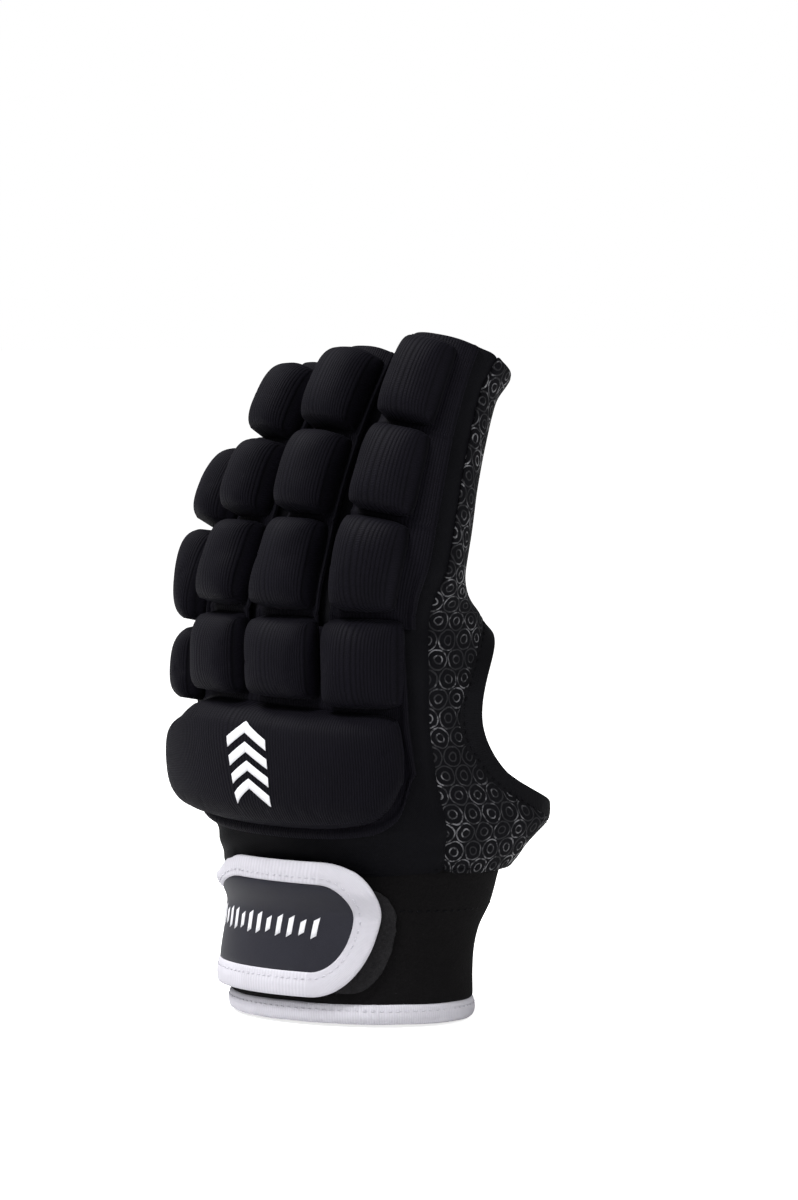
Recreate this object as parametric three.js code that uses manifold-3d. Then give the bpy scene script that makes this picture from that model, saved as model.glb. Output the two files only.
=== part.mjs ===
// A half-finger field hockey glove for the left hand, open as a hand holds it.
// Millimetres. +Z runs up the hand, +X to the thumb side, -Y out of the back of the hand.
// The origin is the middle of the wrist opening, at the lower edge of the hem.
import * as THREE from "three";
import { mergeVertices } from "three/addons/utils/BufferGeometryUtils.js";
import Module from "manifold-3d";

const wasm = await Module();
wasm.setup();

const { lerp, degToRad, radToDeg, smoothstep, clamp } = THREE.MathUtils;

// Thicknesses of the layers and the gap that keeps neighbours apart
const GAP = 0.3;
const FABRIC = 1.6;
const CARRIER = 1.5;
const NEOPRENE = 2.6;

// Heights on the hand
const BODY_FOOT = 39.5;
const KNUCKLE = 107;
const WEB = 127;
const STRIP_ROOT = 103;

// Cross-sections of the hand part, a rounded oblong that is bent to the arch of the knuckles.
// across and depth are its centre, width and height its half sizes, square its corner exponent.
// arch is the bend's radius, turn its twist in degrees, and thumb how far the base of the thumb
// pushes the cloth out.
const HAND = [
  { z: 37, across: 0.2, depth: 5.2, width: 44.5, height: 32.6, square: 2.1, arch: 900, turn: 0, thumb: 2 },
  { z: 45, across: 0, depth: 4.4, width: 45, height: 32, square: 2.2, arch: 600, turn: -1, thumb: 5 },
  { z: 54, across: -0.5, depth: 1.8, width: 45, height: 30.2, square: 2.3, arch: 350, turn: -2, thumb: 13 },
  { z: 67, across: -2.5, depth: -1.4, width: 46, height: 26.4, square: 2.5, arch: 200, turn: -4, thumb: 7 },
  { z: 83, across: -5, depth: -5, width: 46.5, height: 22, square: 2.6, arch: 130, turn: -7, thumb: 7.5 },
  { z: 107, across: -7.5, depth: -6, width: 46, height: 19, square: 2.6, arch: 100, turn: -9, thumb: 10 },
];
const THENAR_PLACE = 26;
const THENAR_SPREAD = 30;
const THENAR_AIM = 45;

// The four finger columns, from the little finger to the index finger.
// from and to are the column's edges on the hand, as shares of the half width.
// rx and ry are the stall's half sizes, and root how much wider the palm's side of it is at the web.
// bend and curl turn it towards the palm at the knuckle and at its end, fan leans it sideways,
// and end is the length along the column at which the stall is cut off.
const FINGERS = [
  { name: "little", from: -0.94, to: -0.5, rx: 9.8, ry: 11, root: 1, bend: 12, curl: 32, fan: -5, end: 154 },
  { name: "ring", from: -0.5, to: 0, rx: 10.5, ry: 12, root: 1, bend: 9, curl: 34, fan: -2.6, end: 176 },
  { name: "middle", from: 0, to: 0.5, rx: 11.2, ry: 12.5, root: 1, bend: 8, curl: 34, fan: 0.5, end: 180.5 },
  { name: "index", from: 0.5, to: 0.94, rx: 12.8, ry: 13.4, root: 1.6, bend: 8, curl: 28, fan: 8, end: 184 },
];
const INDEX = 3;
const FINGER_LIFT = 5.5;
const FINGER_SQUARE = 2.6;
const ROOT_DEPTH = 1.35;
const ROOT_LENGTH = 10;
const BEND_LENGTH = 12;
const FAN_LENGTH = 20;
const PALM_NARROWING = 0.36;

// How a column's outline is shared out, in degrees round it from the middle of its back
const BACK_TURN = 75;
const PALM_TURN = 105;
const CARRIER_TURN = 56;

// The moulded foam. Each column has one pad over the knuckle, from a height on the hand, and rows
// of pads above it, from a length along the column up to its top. little and thumb are the turns
// that the rows reach on either side, and rise is how far the crowns stand off the sheet.
// KNUCKLE_TURNS are the turns that the pads over the knuckles reach.
const PADS = {
  little: { knuckle: 84.6, first: 106.3, rows: 2, top: 148, little: -47, thumb: 47, rise: 8 },
  ring: { knuckle: 88, first: 111.3, rows: 3, top: 172.5, little: -45, thumb: 47, rise: 8 },
  middle: { knuckle: 88, first: 111.3, rows: 3, top: 177, little: -45, thumb: 47, rise: 8 },
  index: { knuckle: 86, first: 111.3, rows: 3, top: 181, little: -37, thumb: 35, rise: 7 },
};
const KNUCKLE_TURNS = { little: [-55, 54], ring: [-44, 58], middle: [-44, 58], index: [-54, 46] };
const FOAM_GAP = 0.6;
const PAD_BASE = FOAM_GAP + CARRIER + 0.5;
const PAD_EDGE = 0.8;
const PAD_CUP = 1.3;
const PAD_GAP = 1.9;
const PAD_CROWN = { across: 2.5, along: 2.7, spread: 0.9 };

// The large pad over the back of the hand, and the sheet that carries all the foam.
// share runs from the little finger's side to the thumb's, low and high are the pad's edges there.
const BACK_PAD = [
  { share: 0, low: 65, high: 76 },
  { share: 0.12, low: 57, high: 79.5 },
  { share: 0.25, low: 54.8, high: 82 },
  { share: 0.38, low: 53.5, high: 86 },
  { share: 0.62, low: 53, high: 84.5 },
  { share: 0.85, low: 56, high: 82.5 },
  { share: 1, low: 65, high: 81 },
];
const BACK_PAD_TURN = { from: -148, to: -36 };
const BACK_PAD_RISE = 8;
const BACK_PAD_CROWN = { across: 4.5, along: 2.8 };
const CARRIER_MARGIN = 2.6;
const CARRIER_SHORT = 1;
const CARRIER_BESIDE = 0.03;
const CARRIER_SIDE = { low: 57, high: 107, little: [-154, -146], thumb: [-31, -35] };

// The thumb hole, an oval that leans with the base of the thumb, with its folded binding
const HOLE = { turn: 44.5, z: 81, wide: 47.5, tall: 29 };
const BINDING = { wide: 6.5, edge: 0.2, full: 0.9, under: 0.3, underFull: 0.45 };
const HOLE_CLEARANCE = 2.4;
const HOLE_CUT = 6;

// The neoprene cuff, an oval that widens towards the hand
const CUFF = [
  { z: 0, across: 0, depth: 0, width: 37.5, height: 28.3 },
  { z: 12, across: 0, depth: 0, width: 37.5, height: 28.3 },
  { z: 24, across: 0.8, depth: 1.6, width: 37.5, height: 28.3 },
  { z: 31, across: 1.7, depth: 3.3, width: 38.8, height: 29.3 },
  { z: 42, across: 2.7, depth: 5.2, width: 40.2, height: 30.2 },
];
const HEM = 5.6;
const HEM_ROLL = { full: 0.9, edge: -0.2, under: 0.1, underFull: 0.5 };
const CUFF_TOP = 41.5;

// The strap round the wrist, given in degrees round the cuff and heights above the hem
const STRAP = {
  end: -43,
  root: -235,
  middle: 25.7,
  half: 18.4,
  round: 27,
  edge: 6.6,
  edgeTurn: 11.5,
  straight: 0.3,
  tuck: 0.6,
  under: -140,
  over: -110,
  stand: 1.65,
  lap: 3.4,
  lapFrom: 29,
  lapTo: 37,
  faceInset: 1.08,
  thick: 1.6,
  bindingThick: 2.2,
};
const LOOP_PATCH = { end: -35, root: -88, middle: 22.5, half: 14, round: 18, low: 0.45, high: 1.2 };

// How finely each piece is divided, round or along it and across it
const CELLS = {
  pad: [6, 6],
  backPad: [16, 8],
  carrier: [20, 6],
  hole: [9, 9],
  holeBinding: [32, 3],
  cuff: 40,
  hem: [40, 3],
  strap: [24, 2],
  strapBinding: [36, 1],
  loopPatch: [12, 3],
};

// Reads every column of a table at one value, on a smooth curve through its rows.
function read(rows, by, at) {
  const t = clamp(at, rows[0][by], rows.at(-1)[by]);
  const k = Math.max(0, Math.min(rows.length - 2, rows.findIndex((row) => row[by] >= t) - 1));
  const [a, b] = [rows[k], rows[k + 1]];
  const [before, after] = [rows[k - 1] ?? a, rows[k + 2] ?? b];
  const span = b[by] - a[by];
  const s = (t - a[by]) / span;
  const found = {};
  for (const column of Object.keys(a)) {
    const slopeA = ((b[column] - before[column]) / (b[by] - before[by])) * span;
    const slopeB = ((after[column] - a[column]) / (after[by] - a[by])) * span;
    const ease = 3 * s ** 2 - 2 * s ** 3;
    found[column] =
      (1 - ease) * a[column] + ease * b[column] + s * (1 - s) * ((1 - s) * slopeA - s * slopeB);
  }
  return found;
}

// A signed power, for the rounded oblong's law.
const signedPower = (value, exponent) => Math.sign(value) * Math.abs(value) ** exponent;

// A point of the bent section: x across and y in depth on the flat oblong.
function bent(section, x, y) {
  const turn = x / section.arch;
  const reach = section.arch - y;
  return new THREE.Vector2(reach * Math.sin(turn), section.arch - reach * Math.cos(turn))
    .rotateAround(new THREE.Vector2(), degToRad(section.turn))
    .add(new THREE.Vector2(section.across, section.depth));
}

// The push of the thumb's base on a point of the section.
function thenarPush(section, point) {
  const bearing = radToDeg(Math.atan2(point.y - section.depth, point.x - section.across));
  const push = section.thumb * Math.exp(-(((bearing - THENAR_PLACE) / THENAR_SPREAD) ** 2));
  const aim = degToRad(THENAR_AIM);
  return new THREE.Vector3(Math.cos(aim), Math.sin(aim), 0).multiplyScalar(push);
}

// The hand's outer skin below the fingers, by the turn round the oblong from the thumb side.
function hand(turn, z) {
  const section = read(HAND, "z", z);
  const [c, s] = [Math.cos(degToRad(turn)), Math.sin(degToRad(turn))];
  const x = section.width * signedPower(c, 2 / section.square);
  const y = section.height * signedPower(s, 2 / section.square);
  const flat = bent(section, x, y);
  const point = new THREE.Vector3(flat.x, flat.y, z);
  return point.add(thenarPush(section, point));
}

// The flat oblong's point for one finger column and one turn round it.
function flatPoint(section, finger, turn) {
  const { height, square } = section;
  const depthAt = (share) => height * (1 - Math.abs(share) ** square) ** (1 / square);
  const middle = (finger.from + finger.to) / 2;
  const half = (finger.to - finger.from) / 2;
  const whole = Math.sin(degToRad(BACK_TURN));
  const spread = (angle) => signedPower(Math.sin(degToRad(angle)) / whole, 2 / FINGER_SQUARE);
  if (turn <= BACK_TURN) {
    const share = middle + half * spread(turn);
    return [share * section.width, -depthAt(share)];
  }
  if (turn >= PALM_TURN && turn <= 360 - PALM_TURN) {
    const share = middle + half * spread(180 - turn);
    return [share * section.width, depthAt(share)];
  }
  const side = turn < 180 ? 1 : -1;
  const share = side > 0 ? finger.to : finger.from;
  const corner = Math.acos(Math.abs(share) ** (section.square / 2));
  const sideMiddle = side > 0 ? 90 : 270;
  const angle = ((side * (turn - sideMiddle)) / (PALM_TURN - 90)) * corner;
  return [
    side * section.width * Math.cos(angle) ** (2 / section.square),
    section.height * signedPower(Math.sin(angle), 2 / section.square),
  ];
}

// A column's own axes at one height: its centre, across to the thumb side, out of its back, up it.
function frameAt(finger, v) {
  const section = read(HAND, "z", Math.min(v, KNUCKLE));
  const x = ((finger.from + finger.to) / 2) * section.width;
  const arc = x / section.arch + degToRad(section.turn);
  const centre2 = bent(section, x, -FINGER_LIFT);
  const across0 = new THREE.Vector3(Math.cos(arc), Math.sin(arc), 0);
  const out0 = new THREE.Vector3(Math.sin(arc), -Math.cos(arc), 0);
  const centre = new THREE.Vector3(centre2.x, centre2.y, Math.min(v, KNUCKLE));
  const axes = (at) => {
    const share = clamp((at - KNUCKLE) / (finger.end - KNUCKLE), 0, 1);
    const bending = smoothstep(at, KNUCKLE, KNUCKLE + BEND_LENGTH);
    const flex = degToRad(lerp(finger.bend, finger.curl, share) * bending);
    const fan = degToRad(finger.fan * smoothstep(at, KNUCKLE, KNUCKLE + FAN_LENGTH));
    const rise = new THREE.Vector3(0, 0, Math.cos(fan)).addScaledVector(across0, Math.sin(fan));
    const across = new THREE.Vector3(0, 0, -Math.sin(fan)).addScaledVector(across0, Math.cos(fan));
    const up = rise.clone().multiplyScalar(Math.cos(flex)).addScaledVector(out0, -Math.sin(flex));
    const out = out0.clone().multiplyScalar(Math.cos(flex)).addScaledVector(rise, Math.sin(flex));
    return { across, out, up };
  };
  const steps = 16;
  for (let k = 0; k < steps && v > KNUCKLE; k++) {
    const step = (v - KNUCKLE) / steps;
    centre.addScaledVector(axes(KNUCKLE + (k + 0.5) * step).up, step);
  }
  return { centre, arc, centre2, section, ...axes(v) };
}

// A point of the glove's outer skin, on one finger column, at a turn round it and a length up it.
function skin(finger, turn, v) {
  const { centre, across, out, arc, centre2, section } = frameAt(finger, v);
  const flat = bent(section, ...flatPoint(section, finger, turn))
    .sub(centre2)
    .rotateAround(new THREE.Vector2(), -arc);
  const share = smoothstep(v, KNUCKLE, WEB);
  const [c, s] = [Math.cos(degToRad(turn)), Math.sin(degToRad(turn))];
  const slim = smoothstep(v, WEB - ROOT_LENGTH, finger.end);
  const deep = c < 0 ? lerp(ROOT_DEPTH, 1, slim) : 1;
  const wide = s > 0 ? lerp(finger.root, 1, slim) : 1;
  const narrow = 1 + PALM_NARROWING * Math.min(0, c);
  const x = lerp(flat.x, finger.rx * wide * narrow * signedPower(s, 2 / FINGER_SQUARE), share);
  const y = lerp(-flat.y, finger.ry * deep * signedPower(c, 2 / FINGER_SQUARE), share);
  const point = centre.clone().addScaledVector(across, x).addScaledVector(out, y);
  return point.addScaledVector(thenarPush(section, point), 1 - share);
}

// The cuff's outer skin, by the turn round it from the thumb side.
function cuffSkin(turn, z) {
  const section = read(CUFF, "z", z);
  const angle = degToRad(turn);
  return new THREE.Vector3(
    section.across + section.width * Math.cos(angle),
    section.depth + section.height * Math.sin(angle),
    z,
  );
}

// A solid from vertices and quads.
function solid(points, faces) {
  return new THREE.BufferGeometry()
    .setAttribute("position", new THREE.Float32BufferAttribute(points.flatMap((p) => p.toArray()), 3))
    .setIndex(faces.flatMap(([a, b, c, d]) => [a, b, c, a, c, d]));
}

// The same quad facing the other way, still split along its first corner's diagonal.
const turnedOver = ([a, b, c, d]) => [a, d, c, b];

// A layer lifted off a surface along its own outward direction.
// place(s, t) gives the surface's two coordinates, lift(s, t) the height.
function raised(surface, place, lift) {
  const step = 0.05;
  return (s, t) => {
    const [a, b] = place(s, t);
    const alongA = surface(a + step, b).sub(surface(a - step, b));
    const alongB = surface(a, b + step).sub(surface(a, b - step));
    return surface(a, b).addScaledVector(alongA.cross(alongB).normalize(), lift(s, t));
  };
}

// A slab between two layers, top(s, t) and bottom(s, t), with s running round it where it is closed.
function slab(top, bottom, [columns, rows], closed = false) {
  const points = [];
  const faces = [];
  const wide = closed ? columns : columns + 1;
  for (const layer of [top, bottom])
    for (let r = 0; r <= rows; r++)
      for (let c = 0; c < wide; c++) points.push(layer(c / columns, r / rows));
  const under = wide * (rows + 1);
  const at = (r, c) => r * wide + (c % wide);
  for (let r = 0; r < rows; r++)
    for (let c = 0; c < columns; c++) {
      const quad = [at(r, c), at(r, c + 1), at(r + 1, c + 1), at(r + 1, c)];
      faces.push(quad);
      faces.push(turnedOver(quad).map((k) => k + under));
    }
  const wall = (from, to) => faces.push([from, under + from, under + to, to]);
  for (let c = 0; c < columns; c++) {
    wall(at(0, c), at(0, c + 1));
    wall(at(rows, c + 1), at(rows, c));
  }
  for (let r = 0; r < rows && !closed; r++) {
    wall(at(r, columns), at(r + 1, columns));
    wall(at(r + 1, 0), at(r, 0));
  }
  return solid(points, faces);
}

function manifold(geometry) {
  const plain = geometry.clone();
  plain.deleteAttribute("normal");
  plain.deleteAttribute("uv");
  const merged = mergeVertices(plain, 1e-4);
  return new wasm.Manifold(
    new wasm.Mesh({
      numProp: 3,
      vertProperties: merged.attributes.position.array,
      triVerts: new Uint32Array(merged.index.array),
    }),
  );
}

function fromManifold(made) {
  const mesh = made.getMesh();
  return new THREE.BufferGeometry()
    .setAttribute("position", new THREE.BufferAttribute(mesh.vertProperties, 3))
    .setIndex(new THREE.BufferAttribute(mesh.triVerts, 1));
}

// The skin as one net of quads: rings up the hand, and from the web a ring for each finger.
const BACK_TURNS = [-75, -48, -16, 16, 48, 75];
const PALM_TURNS = [105, 142, 180, 218, 255];
const OUTER_TURNS = [83, 94];
const HAND_LEVELS = [BODY_FOOT, 45, 52, 60, 68, 78, 90, 100, KNUCKLE, 113, 120, WEB];
const STALL_LEVELS = [0.25, 0.5, 0.75, 1];
const WEB_RISE = 1.5;

function skinNet() {
  const net = { points: [], quads: [] };
  const add = (point) => net.points.push(point) - 1;
  // Each station of the hand's ring lists the columns that meet in it.
  const stations = [];
  FINGERS.forEach((finger, f) =>
    BACK_TURNS.forEach((turn, k) => {
      if (f > 0 && k === 0) stations.at(-1).push([finger, turn]);
      else stations.push([[finger, turn]]);
    }),
  );
  OUTER_TURNS.forEach((turn) => stations.push([[FINGERS[INDEX], turn]]));
  [...FINGERS].reverse().forEach((finger, f) =>
    PALM_TURNS.forEach((turn, k) => {
      if (f > 0 && k === 0) stations.at(-1).push([finger, turn]);
      else stations.push([[finger, turn]]);
    }),
  );
  [...OUTER_TURNS].reverse().forEach((turn) => stations.push([[FINGERS[0], 360 - turn]]));
  const meet = (station, v) =>
    station
      .reduce((sum, [finger, turn]) => sum.add(skin(finger, turn, v)), new THREE.Vector3())
      .divideScalar(station.length);
  const sideOf = (turn) => (turn >= BACK_TURN && turn < 360 - BACK_TURN ? "palm" : "back");
  let ring;
  for (const v of HAND_LEVELS) {
    const next = stations.map((station) => add(meet(station, v)));
    if (ring)
      next.forEach((n, k) => {
        const m = (k + 1) % next.length;
        const turn = stations[k].at(-1)[1];
        net.quads.push({ corners: [ring[k], ring[m], next[m], n], side: sideOf(turn) });
      });
    ring = next;
  }
  const backCount = BACK_TURNS.length - 1;
  const palmCount = PALM_TURNS.length - 1;
  const palmStart = FINGERS.length * backCount + 1 + OUTER_TURNS.length;
  const crotch = [0, 1, 2].map((f) => {
    const back = net.points[ring[(f + 1) * backCount]];
    const palm = net.points[ring[palmStart + (INDEX - f) * palmCount]];
    return add(back.clone().add(palm).divideScalar(2).add(new THREE.Vector3(0, 0, WEB_RISE)));
  });
  FINGERS.forEach((finger, f) => {
    const outer = f === INDEX ? OUTER_TURNS : [90];
    const inner = f === 0 ? [...OUTER_TURNS].reverse().map((turn) => 360 - turn) : [270];
    const turns = [...BACK_TURNS, ...outer, ...PALM_TURNS, ...inner];
    const palmFirst = palmStart + (INDEX - f) * palmCount;
    let low = [
      ...BACK_TURNS.map((_, k) => ring[f * backCount + k]),
      ...(f === INDEX ? ring.slice(palmStart - OUTER_TURNS.length, palmStart) : [crotch[f]]),
      ...PALM_TURNS.map((_, k) => ring[(palmFirst + k) % ring.length]),
      ...(f === 0 ? ring.slice(-OUTER_TURNS.length) : [crotch[f - 1]]),
    ];
    for (const share of STALL_LEVELS) {
      const v = lerp(WEB, finger.end, share);
      const high = turns.map((turn) => add(skin(finger, turn, v)));
      high.forEach((n, k) => {
        const m = (k + 1) % high.length;
        const turn = turns[k];
        const inWeb = (turn === BACK_TURN && f < INDEX) || (turn === 270 && f > 0);
        const side = inWeb ? "back" : sideOf(turn);
        net.quads.push({ corners: [low[k], low[m], high[m], n], side });
      });
      low = high;
    }
  });
  net.normals = net.points.map(() => new THREE.Vector3());
  for (const { corners } of net.quads) {
    const [a, b, c, d] = corners.map((k) => net.points[k]);
    const normal = c.clone().sub(a).cross(d.clone().sub(b)).normalize();
    corners.forEach((k) => net.normals[k].add(normal));
  }
  net.normals.forEach((normal) => normal.normalize());
  return net;
}

// One cloth panel of the net, its outer face on the skin and its edges drawn back from the seam.
function panel(net, side, thickness) {
  const quads = net.quads.filter((quad) => quad.side === side).map((quad) => quad.corners);
  const used = [...new Set(quads.flat())];
  const edges = new Map();
  quads.forEach((quad) =>
    quad.forEach((from, k) => {
      const to = quad[(k + 1) % 4];
      if (!edges.delete(to + ">" + from)) edges.set(from + ">" + to, [from, to]);
    }),
  );
  const border = new Set([...edges.values()].flat());
  const points = [];
  const outer = new Map();
  const inner = new Map();
  for (const k of used) {
    const point = net.points[k].clone();
    if (border.has(k)) {
      const middle = new THREE.Vector3();
      const around = quads.filter((quad) => quad.includes(k)).flat();
      around.forEach((n) => middle.addScaledVector(net.points[n], 1 / around.length));
      const draw = middle.sub(point).projectOnPlane(net.normals[k]).normalize();
      point.addScaledVector(draw, GAP * 0.8);
    }
    outer.set(k, points.push(point) - 1);
    inner.set(k, points.push(point.clone().addScaledVector(net.normals[k], -thickness)) - 1);
  }
  const faces = quads.map((quad) => quad.map((k) => outer.get(k)));
  quads.forEach((quad) => faces.push(turnedOver(quad).map((k) => inner.get(k))));
  for (const [from, to] of edges.values())
    faces.push([outer.get(from), inner.get(from), inner.get(to), outer.get(to)]);
  return solid(points, faces);
}

// A point in the thumb hole's oval, with u and w from -1 to 1, drawn in by some width.
function holePoint(u, w, inset) {
  const perMm = 1 / degToRad(read(HAND, "z", HOLE.z).width);
  return [HOLE.turn + (HOLE.wide - inset * perMm) * u, HOLE.z + (HOLE.tall - inset) * w];
}

// Profiles from 0 at both edges of a piece to 1 in its middle: a loaf's crown and a rolled edge's
const loaf = (q, power) => (1 - Math.abs(2 * q - 1) ** power) ** (1 / power);
const roll = (q) => 1 - (2 * q - 1) ** 4;

// A slab of even thickness on a surface, from one height above it to another.
function sheet(surface, place, low, high, cells, closed = false) {
  return slab(raised(surface, place, () => high), raised(surface, place, () => low), cells, closed);
}

// A finger pad, a loaf of foam from one length to another along its column.
function fingerPad(finger, { from, to, little, thumb, rise }) {
  const layer = (lift) => (s, t) => {
    const v = lerp(from, to, t);
    const turn = lerp(little, thumb, (1 + signedPower(2 * s - 1, PAD_CROWN.spread)) / 2);
    return skin(finger, turn, v).addScaledVector(frameAt(finger, v).out, lift(s, t));
  };
  const base = (s) => PAD_BASE + PAD_CUP * (2 * s - 1) ** 4;
  const loaves = (s, t) => loaf(s, PAD_CROWN.across) * loaf(t, PAD_CROWN.along);
  return slab(layer((s, t) => base(s) + PAD_EDGE + rise * loaves(s, t)), layer(base), CELLS.pad);
}

// Where a column's pads lie: one over the knuckle and the rest evenly up the finger.
function padsOf(finger) {
  const { knuckle, first, rows, top, little, thumb, rise } = PADS[finger.name];
  const pitch = (top + PAD_GAP - first) / rows;
  const row = (from, to, turns) => ({ from, to, little: turns[0], thumb: turns[1], rise });
  const up = (n) => row(first + n * pitch, first + (n + 1) * pitch - PAD_GAP, [little, thumb]);
  const low = row(knuckle, first - PAD_GAP, KNUCKLE_TURNS[finger.name]);
  return [low, ...Array.from({ length: rows }, (_, n) => up(n))];
}

// The large pad over the back of the hand.
function backPad() {
  const place = (s, t) => {
    const edge = read(BACK_PAD, "share", s);
    return [lerp(BACK_PAD_TURN.from, BACK_PAD_TURN.to, s), lerp(edge.low, edge.high, t)];
  };
  const { across, along } = BACK_PAD_CROWN;
  const crown = (s, t) => PAD_BASE + PAD_EDGE + BACK_PAD_RISE * loaf(s, across) * loaf(t, along);
  return slab(raised(hand, place, crown), raised(hand, place, () => PAD_BASE), CELLS.backPad);
}

// The sheet that the foam is moulded on, whole over the hand with a strip up each finger.
function foamPanel() {
  const place = (s, t) => {
    const beside = (s - CARRIER_BESIDE) / (1 - 2 * CARRIER_BESIDE);
    const edge = read(BACK_PAD, "share", clamp(beside, 0, 1));
    const z = lerp(edge.low - CARRIER_MARGIN, KNUCKLE, t);
    const rise = (z - CARRIER_SIDE.low) / (CARRIER_SIDE.high - CARRIER_SIDE.low);
    const little = lerp(...CARRIER_SIDE.little, rise);
    const thumb = lerp(...CARRIER_SIDE.thumb, rise);
    return [lerp(little, thumb, s), z];
  };
  const whole = sheet(hand, place, FOAM_GAP, FOAM_GAP + CARRIER, CELLS.carrier);
  const strips = FINGERS.map((finger) => {
    const turns = [-CARRIER_TURN, ...BACK_TURNS.slice(1, -1), CARRIER_TURN];
    const last = finger.end - CARRIER_SHORT;
    const stall = STALL_LEVELS.map((share) => Math.min(lerp(WEB, finger.end, share), last));
    const levels = [STRIP_ROOT, ...HAND_LEVELS.filter((level) => level > STRIP_ROOT), ...stall];
    const layer = (lift) => (s, t) => {
      const turn = turns[Math.round(s * (turns.length - 1))];
      const v = levels[Math.round(t * (levels.length - 1))];
      return skin(finger, turn, v).addScaledVector(frameAt(finger, v).out, lift);
    };
    return slab(layer(FOAM_GAP + CARRIER), layer(FOAM_GAP), [turns.length - 1, levels.length - 1]);
  });
  return fromManifold(strips.map(manifold).reduce((all, strip) => all.add(strip), manifold(whole)));
}

// The palm's cloth, with the thumb hole cut through it.
function palmCloth(net) {
  const place = (s, t) => {
    const [p, q] = [2 * s - 1, 2 * t - 1];
    return holePoint(p * Math.sqrt(1 - q ** 2 / 2), q * Math.sqrt(1 - p ** 2 / 2), -HOLE_CLEARANCE);
  };
  const plug = sheet(hand, place, -HOLE_CUT, HOLE_CUT, CELLS.hole);
  return fromManifold(manifold(panel(net, "palm", FABRIC)).subtract(manifold(plug)));
}

// The folded binding round the thumb hole.
function thumbBinding() {
  const { wide, edge, full, under, underFull } = BINDING;
  const place = (s, t) => holePoint(Math.cos(2 * Math.PI * s), Math.sin(2 * Math.PI * s), wide * t);
  const top = raised(hand, place, (s, t) => edge + full * roll(t));
  const bottom = raised(hand, place, (s, t) => -FABRIC - under - underFull * roll(t));
  return slab(top, bottom, CELLS.holeBinding, true);
}

function cuff() {
  const levels = [HEM + GAP, ...CUFF.slice(1, -1).map((row) => row.z), CUFF_TOP];
  const place = (s, t) => [360 * s, levels[Math.round(t * (levels.length - 1))]];
  return sheet(cuffSkin, place, -NEOPRENE, 0, [CELLS.cuff, levels.length - 1], true);
}

// The binding rolled round the cuff's lower edge.
function hemBinding() {
  const { full, edge, under, underFull } = HEM_ROLL;
  const place = (s, t) => [360 * s, HEM * t];
  const top = raised(cuffSkin, place, (s, t) => edge + full * roll(t));
  const bottom = raised(cuffSkin, place, (s, t) => under - NEOPRENE - underFull * roll(t));
  return slab(top, bottom, CELLS.hem, true);
}

// The strap's outline as a U from its root, round its end and back, drawn in by a share of its edge.
// Its upper side is lower where the strap passes under the body's foot.
function strapOutline(s, inset) {
  const round = STRAP.round - inset * STRAP.edgeTurn;
  const half = STRAP.half - inset * STRAP.edge;
  const bend = STRAP.end - inset * STRAP.edgeTurn - round;
  const { straight } = STRAP;
  const angle = ((clamp((s - straight) / (1 - 2 * straight), 0, 1) * 2 - 1) * Math.PI) / 2;
  const back = Math.max(0, straight - s, s - 1 + straight) / straight;
  const turn = lerp(bend + round * Math.cos(angle), STRAP.root, back);
  const upper = lerp(STRAP.tuck, 1, smoothstep(turn, STRAP.under, STRAP.over));
  return [turn, STRAP.middle + half * Math.sin(angle) * (s > 0.5 ? upper : 1)];
}

// How far the strap stands off the cuff: over the loop patch, and further over the body's foot.
const strapStand = (z) => STRAP.stand + STRAP.lap * smoothstep(z, STRAP.lapFrom, STRAP.lapTo);

function strapBinding() {
  const place = (s, t) => {
    const [a, b] = [strapOutline(s, 0), strapOutline(s, 1)];
    return [lerp(a[0], b[0], t), lerp(a[1], b[1], t)];
  };
  const layer = (height) => raised(cuffSkin, place, (s, t) => strapStand(place(s, t)[1]) + height);
  return slab(layer(STRAP.bindingThick), layer(0), CELLS.strapBinding);
}

function strap() {
  const nearMiddle = 0.499;
  const place = (s, t) => {
    const low = strapOutline(s * nearMiddle, STRAP.faceInset);
    const high = strapOutline(1 - s * nearMiddle, STRAP.faceInset);
    return [low[0], lerp(low[1], high[1], t)];
  };
  const layer = (height) => raised(cuffSkin, place, (s, t) => strapStand(place(s, t)[1]) + height);
  return slab(layer(STRAP.thick), layer(0), CELLS.strap);
}

// The patch of loops on the cuff that the strap's end holds on to.
function loopPatch() {
  const { root, end, round, middle, half, low, high } = LOOP_PATCH;
  const place = (s, t) => {
    const turn = lerp(root, end, s);
    const near = clamp((turn - end + round) / round, 0, 0.98);
    return [turn, middle + half * Math.sqrt(1 - near ** 2) * (2 * t - 1)];
  };
  return sheet(cuffSkin, place, low, high, CELLS.loopPatch);
}

// Materials
const finish = (color, roughness) => new THREE.MeshStandardMaterial({ color, roughness, metalness: 0 });
const lycra = finish(0x0c0c10, 0.8);
const grip = finish(0x17171a, 0.6);
const knit = finish(0x101014, 0.9);
const neoprene = finish(0x0b0b0d, 0.95);
const whiteBinding = finish(0xe8e6f0, 0.7);
const rubber = finish(0x2c2c36, 0.55);
const loops = finish(0x121214, 1);

// The glove, built from the hand outwards
const glove = new THREE.Group();
function piece(name, geometry, material) {
  const mesh = new THREE.Mesh(geometry, material);
  mesh.name = name;
  glove.add(mesh);
}

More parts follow.
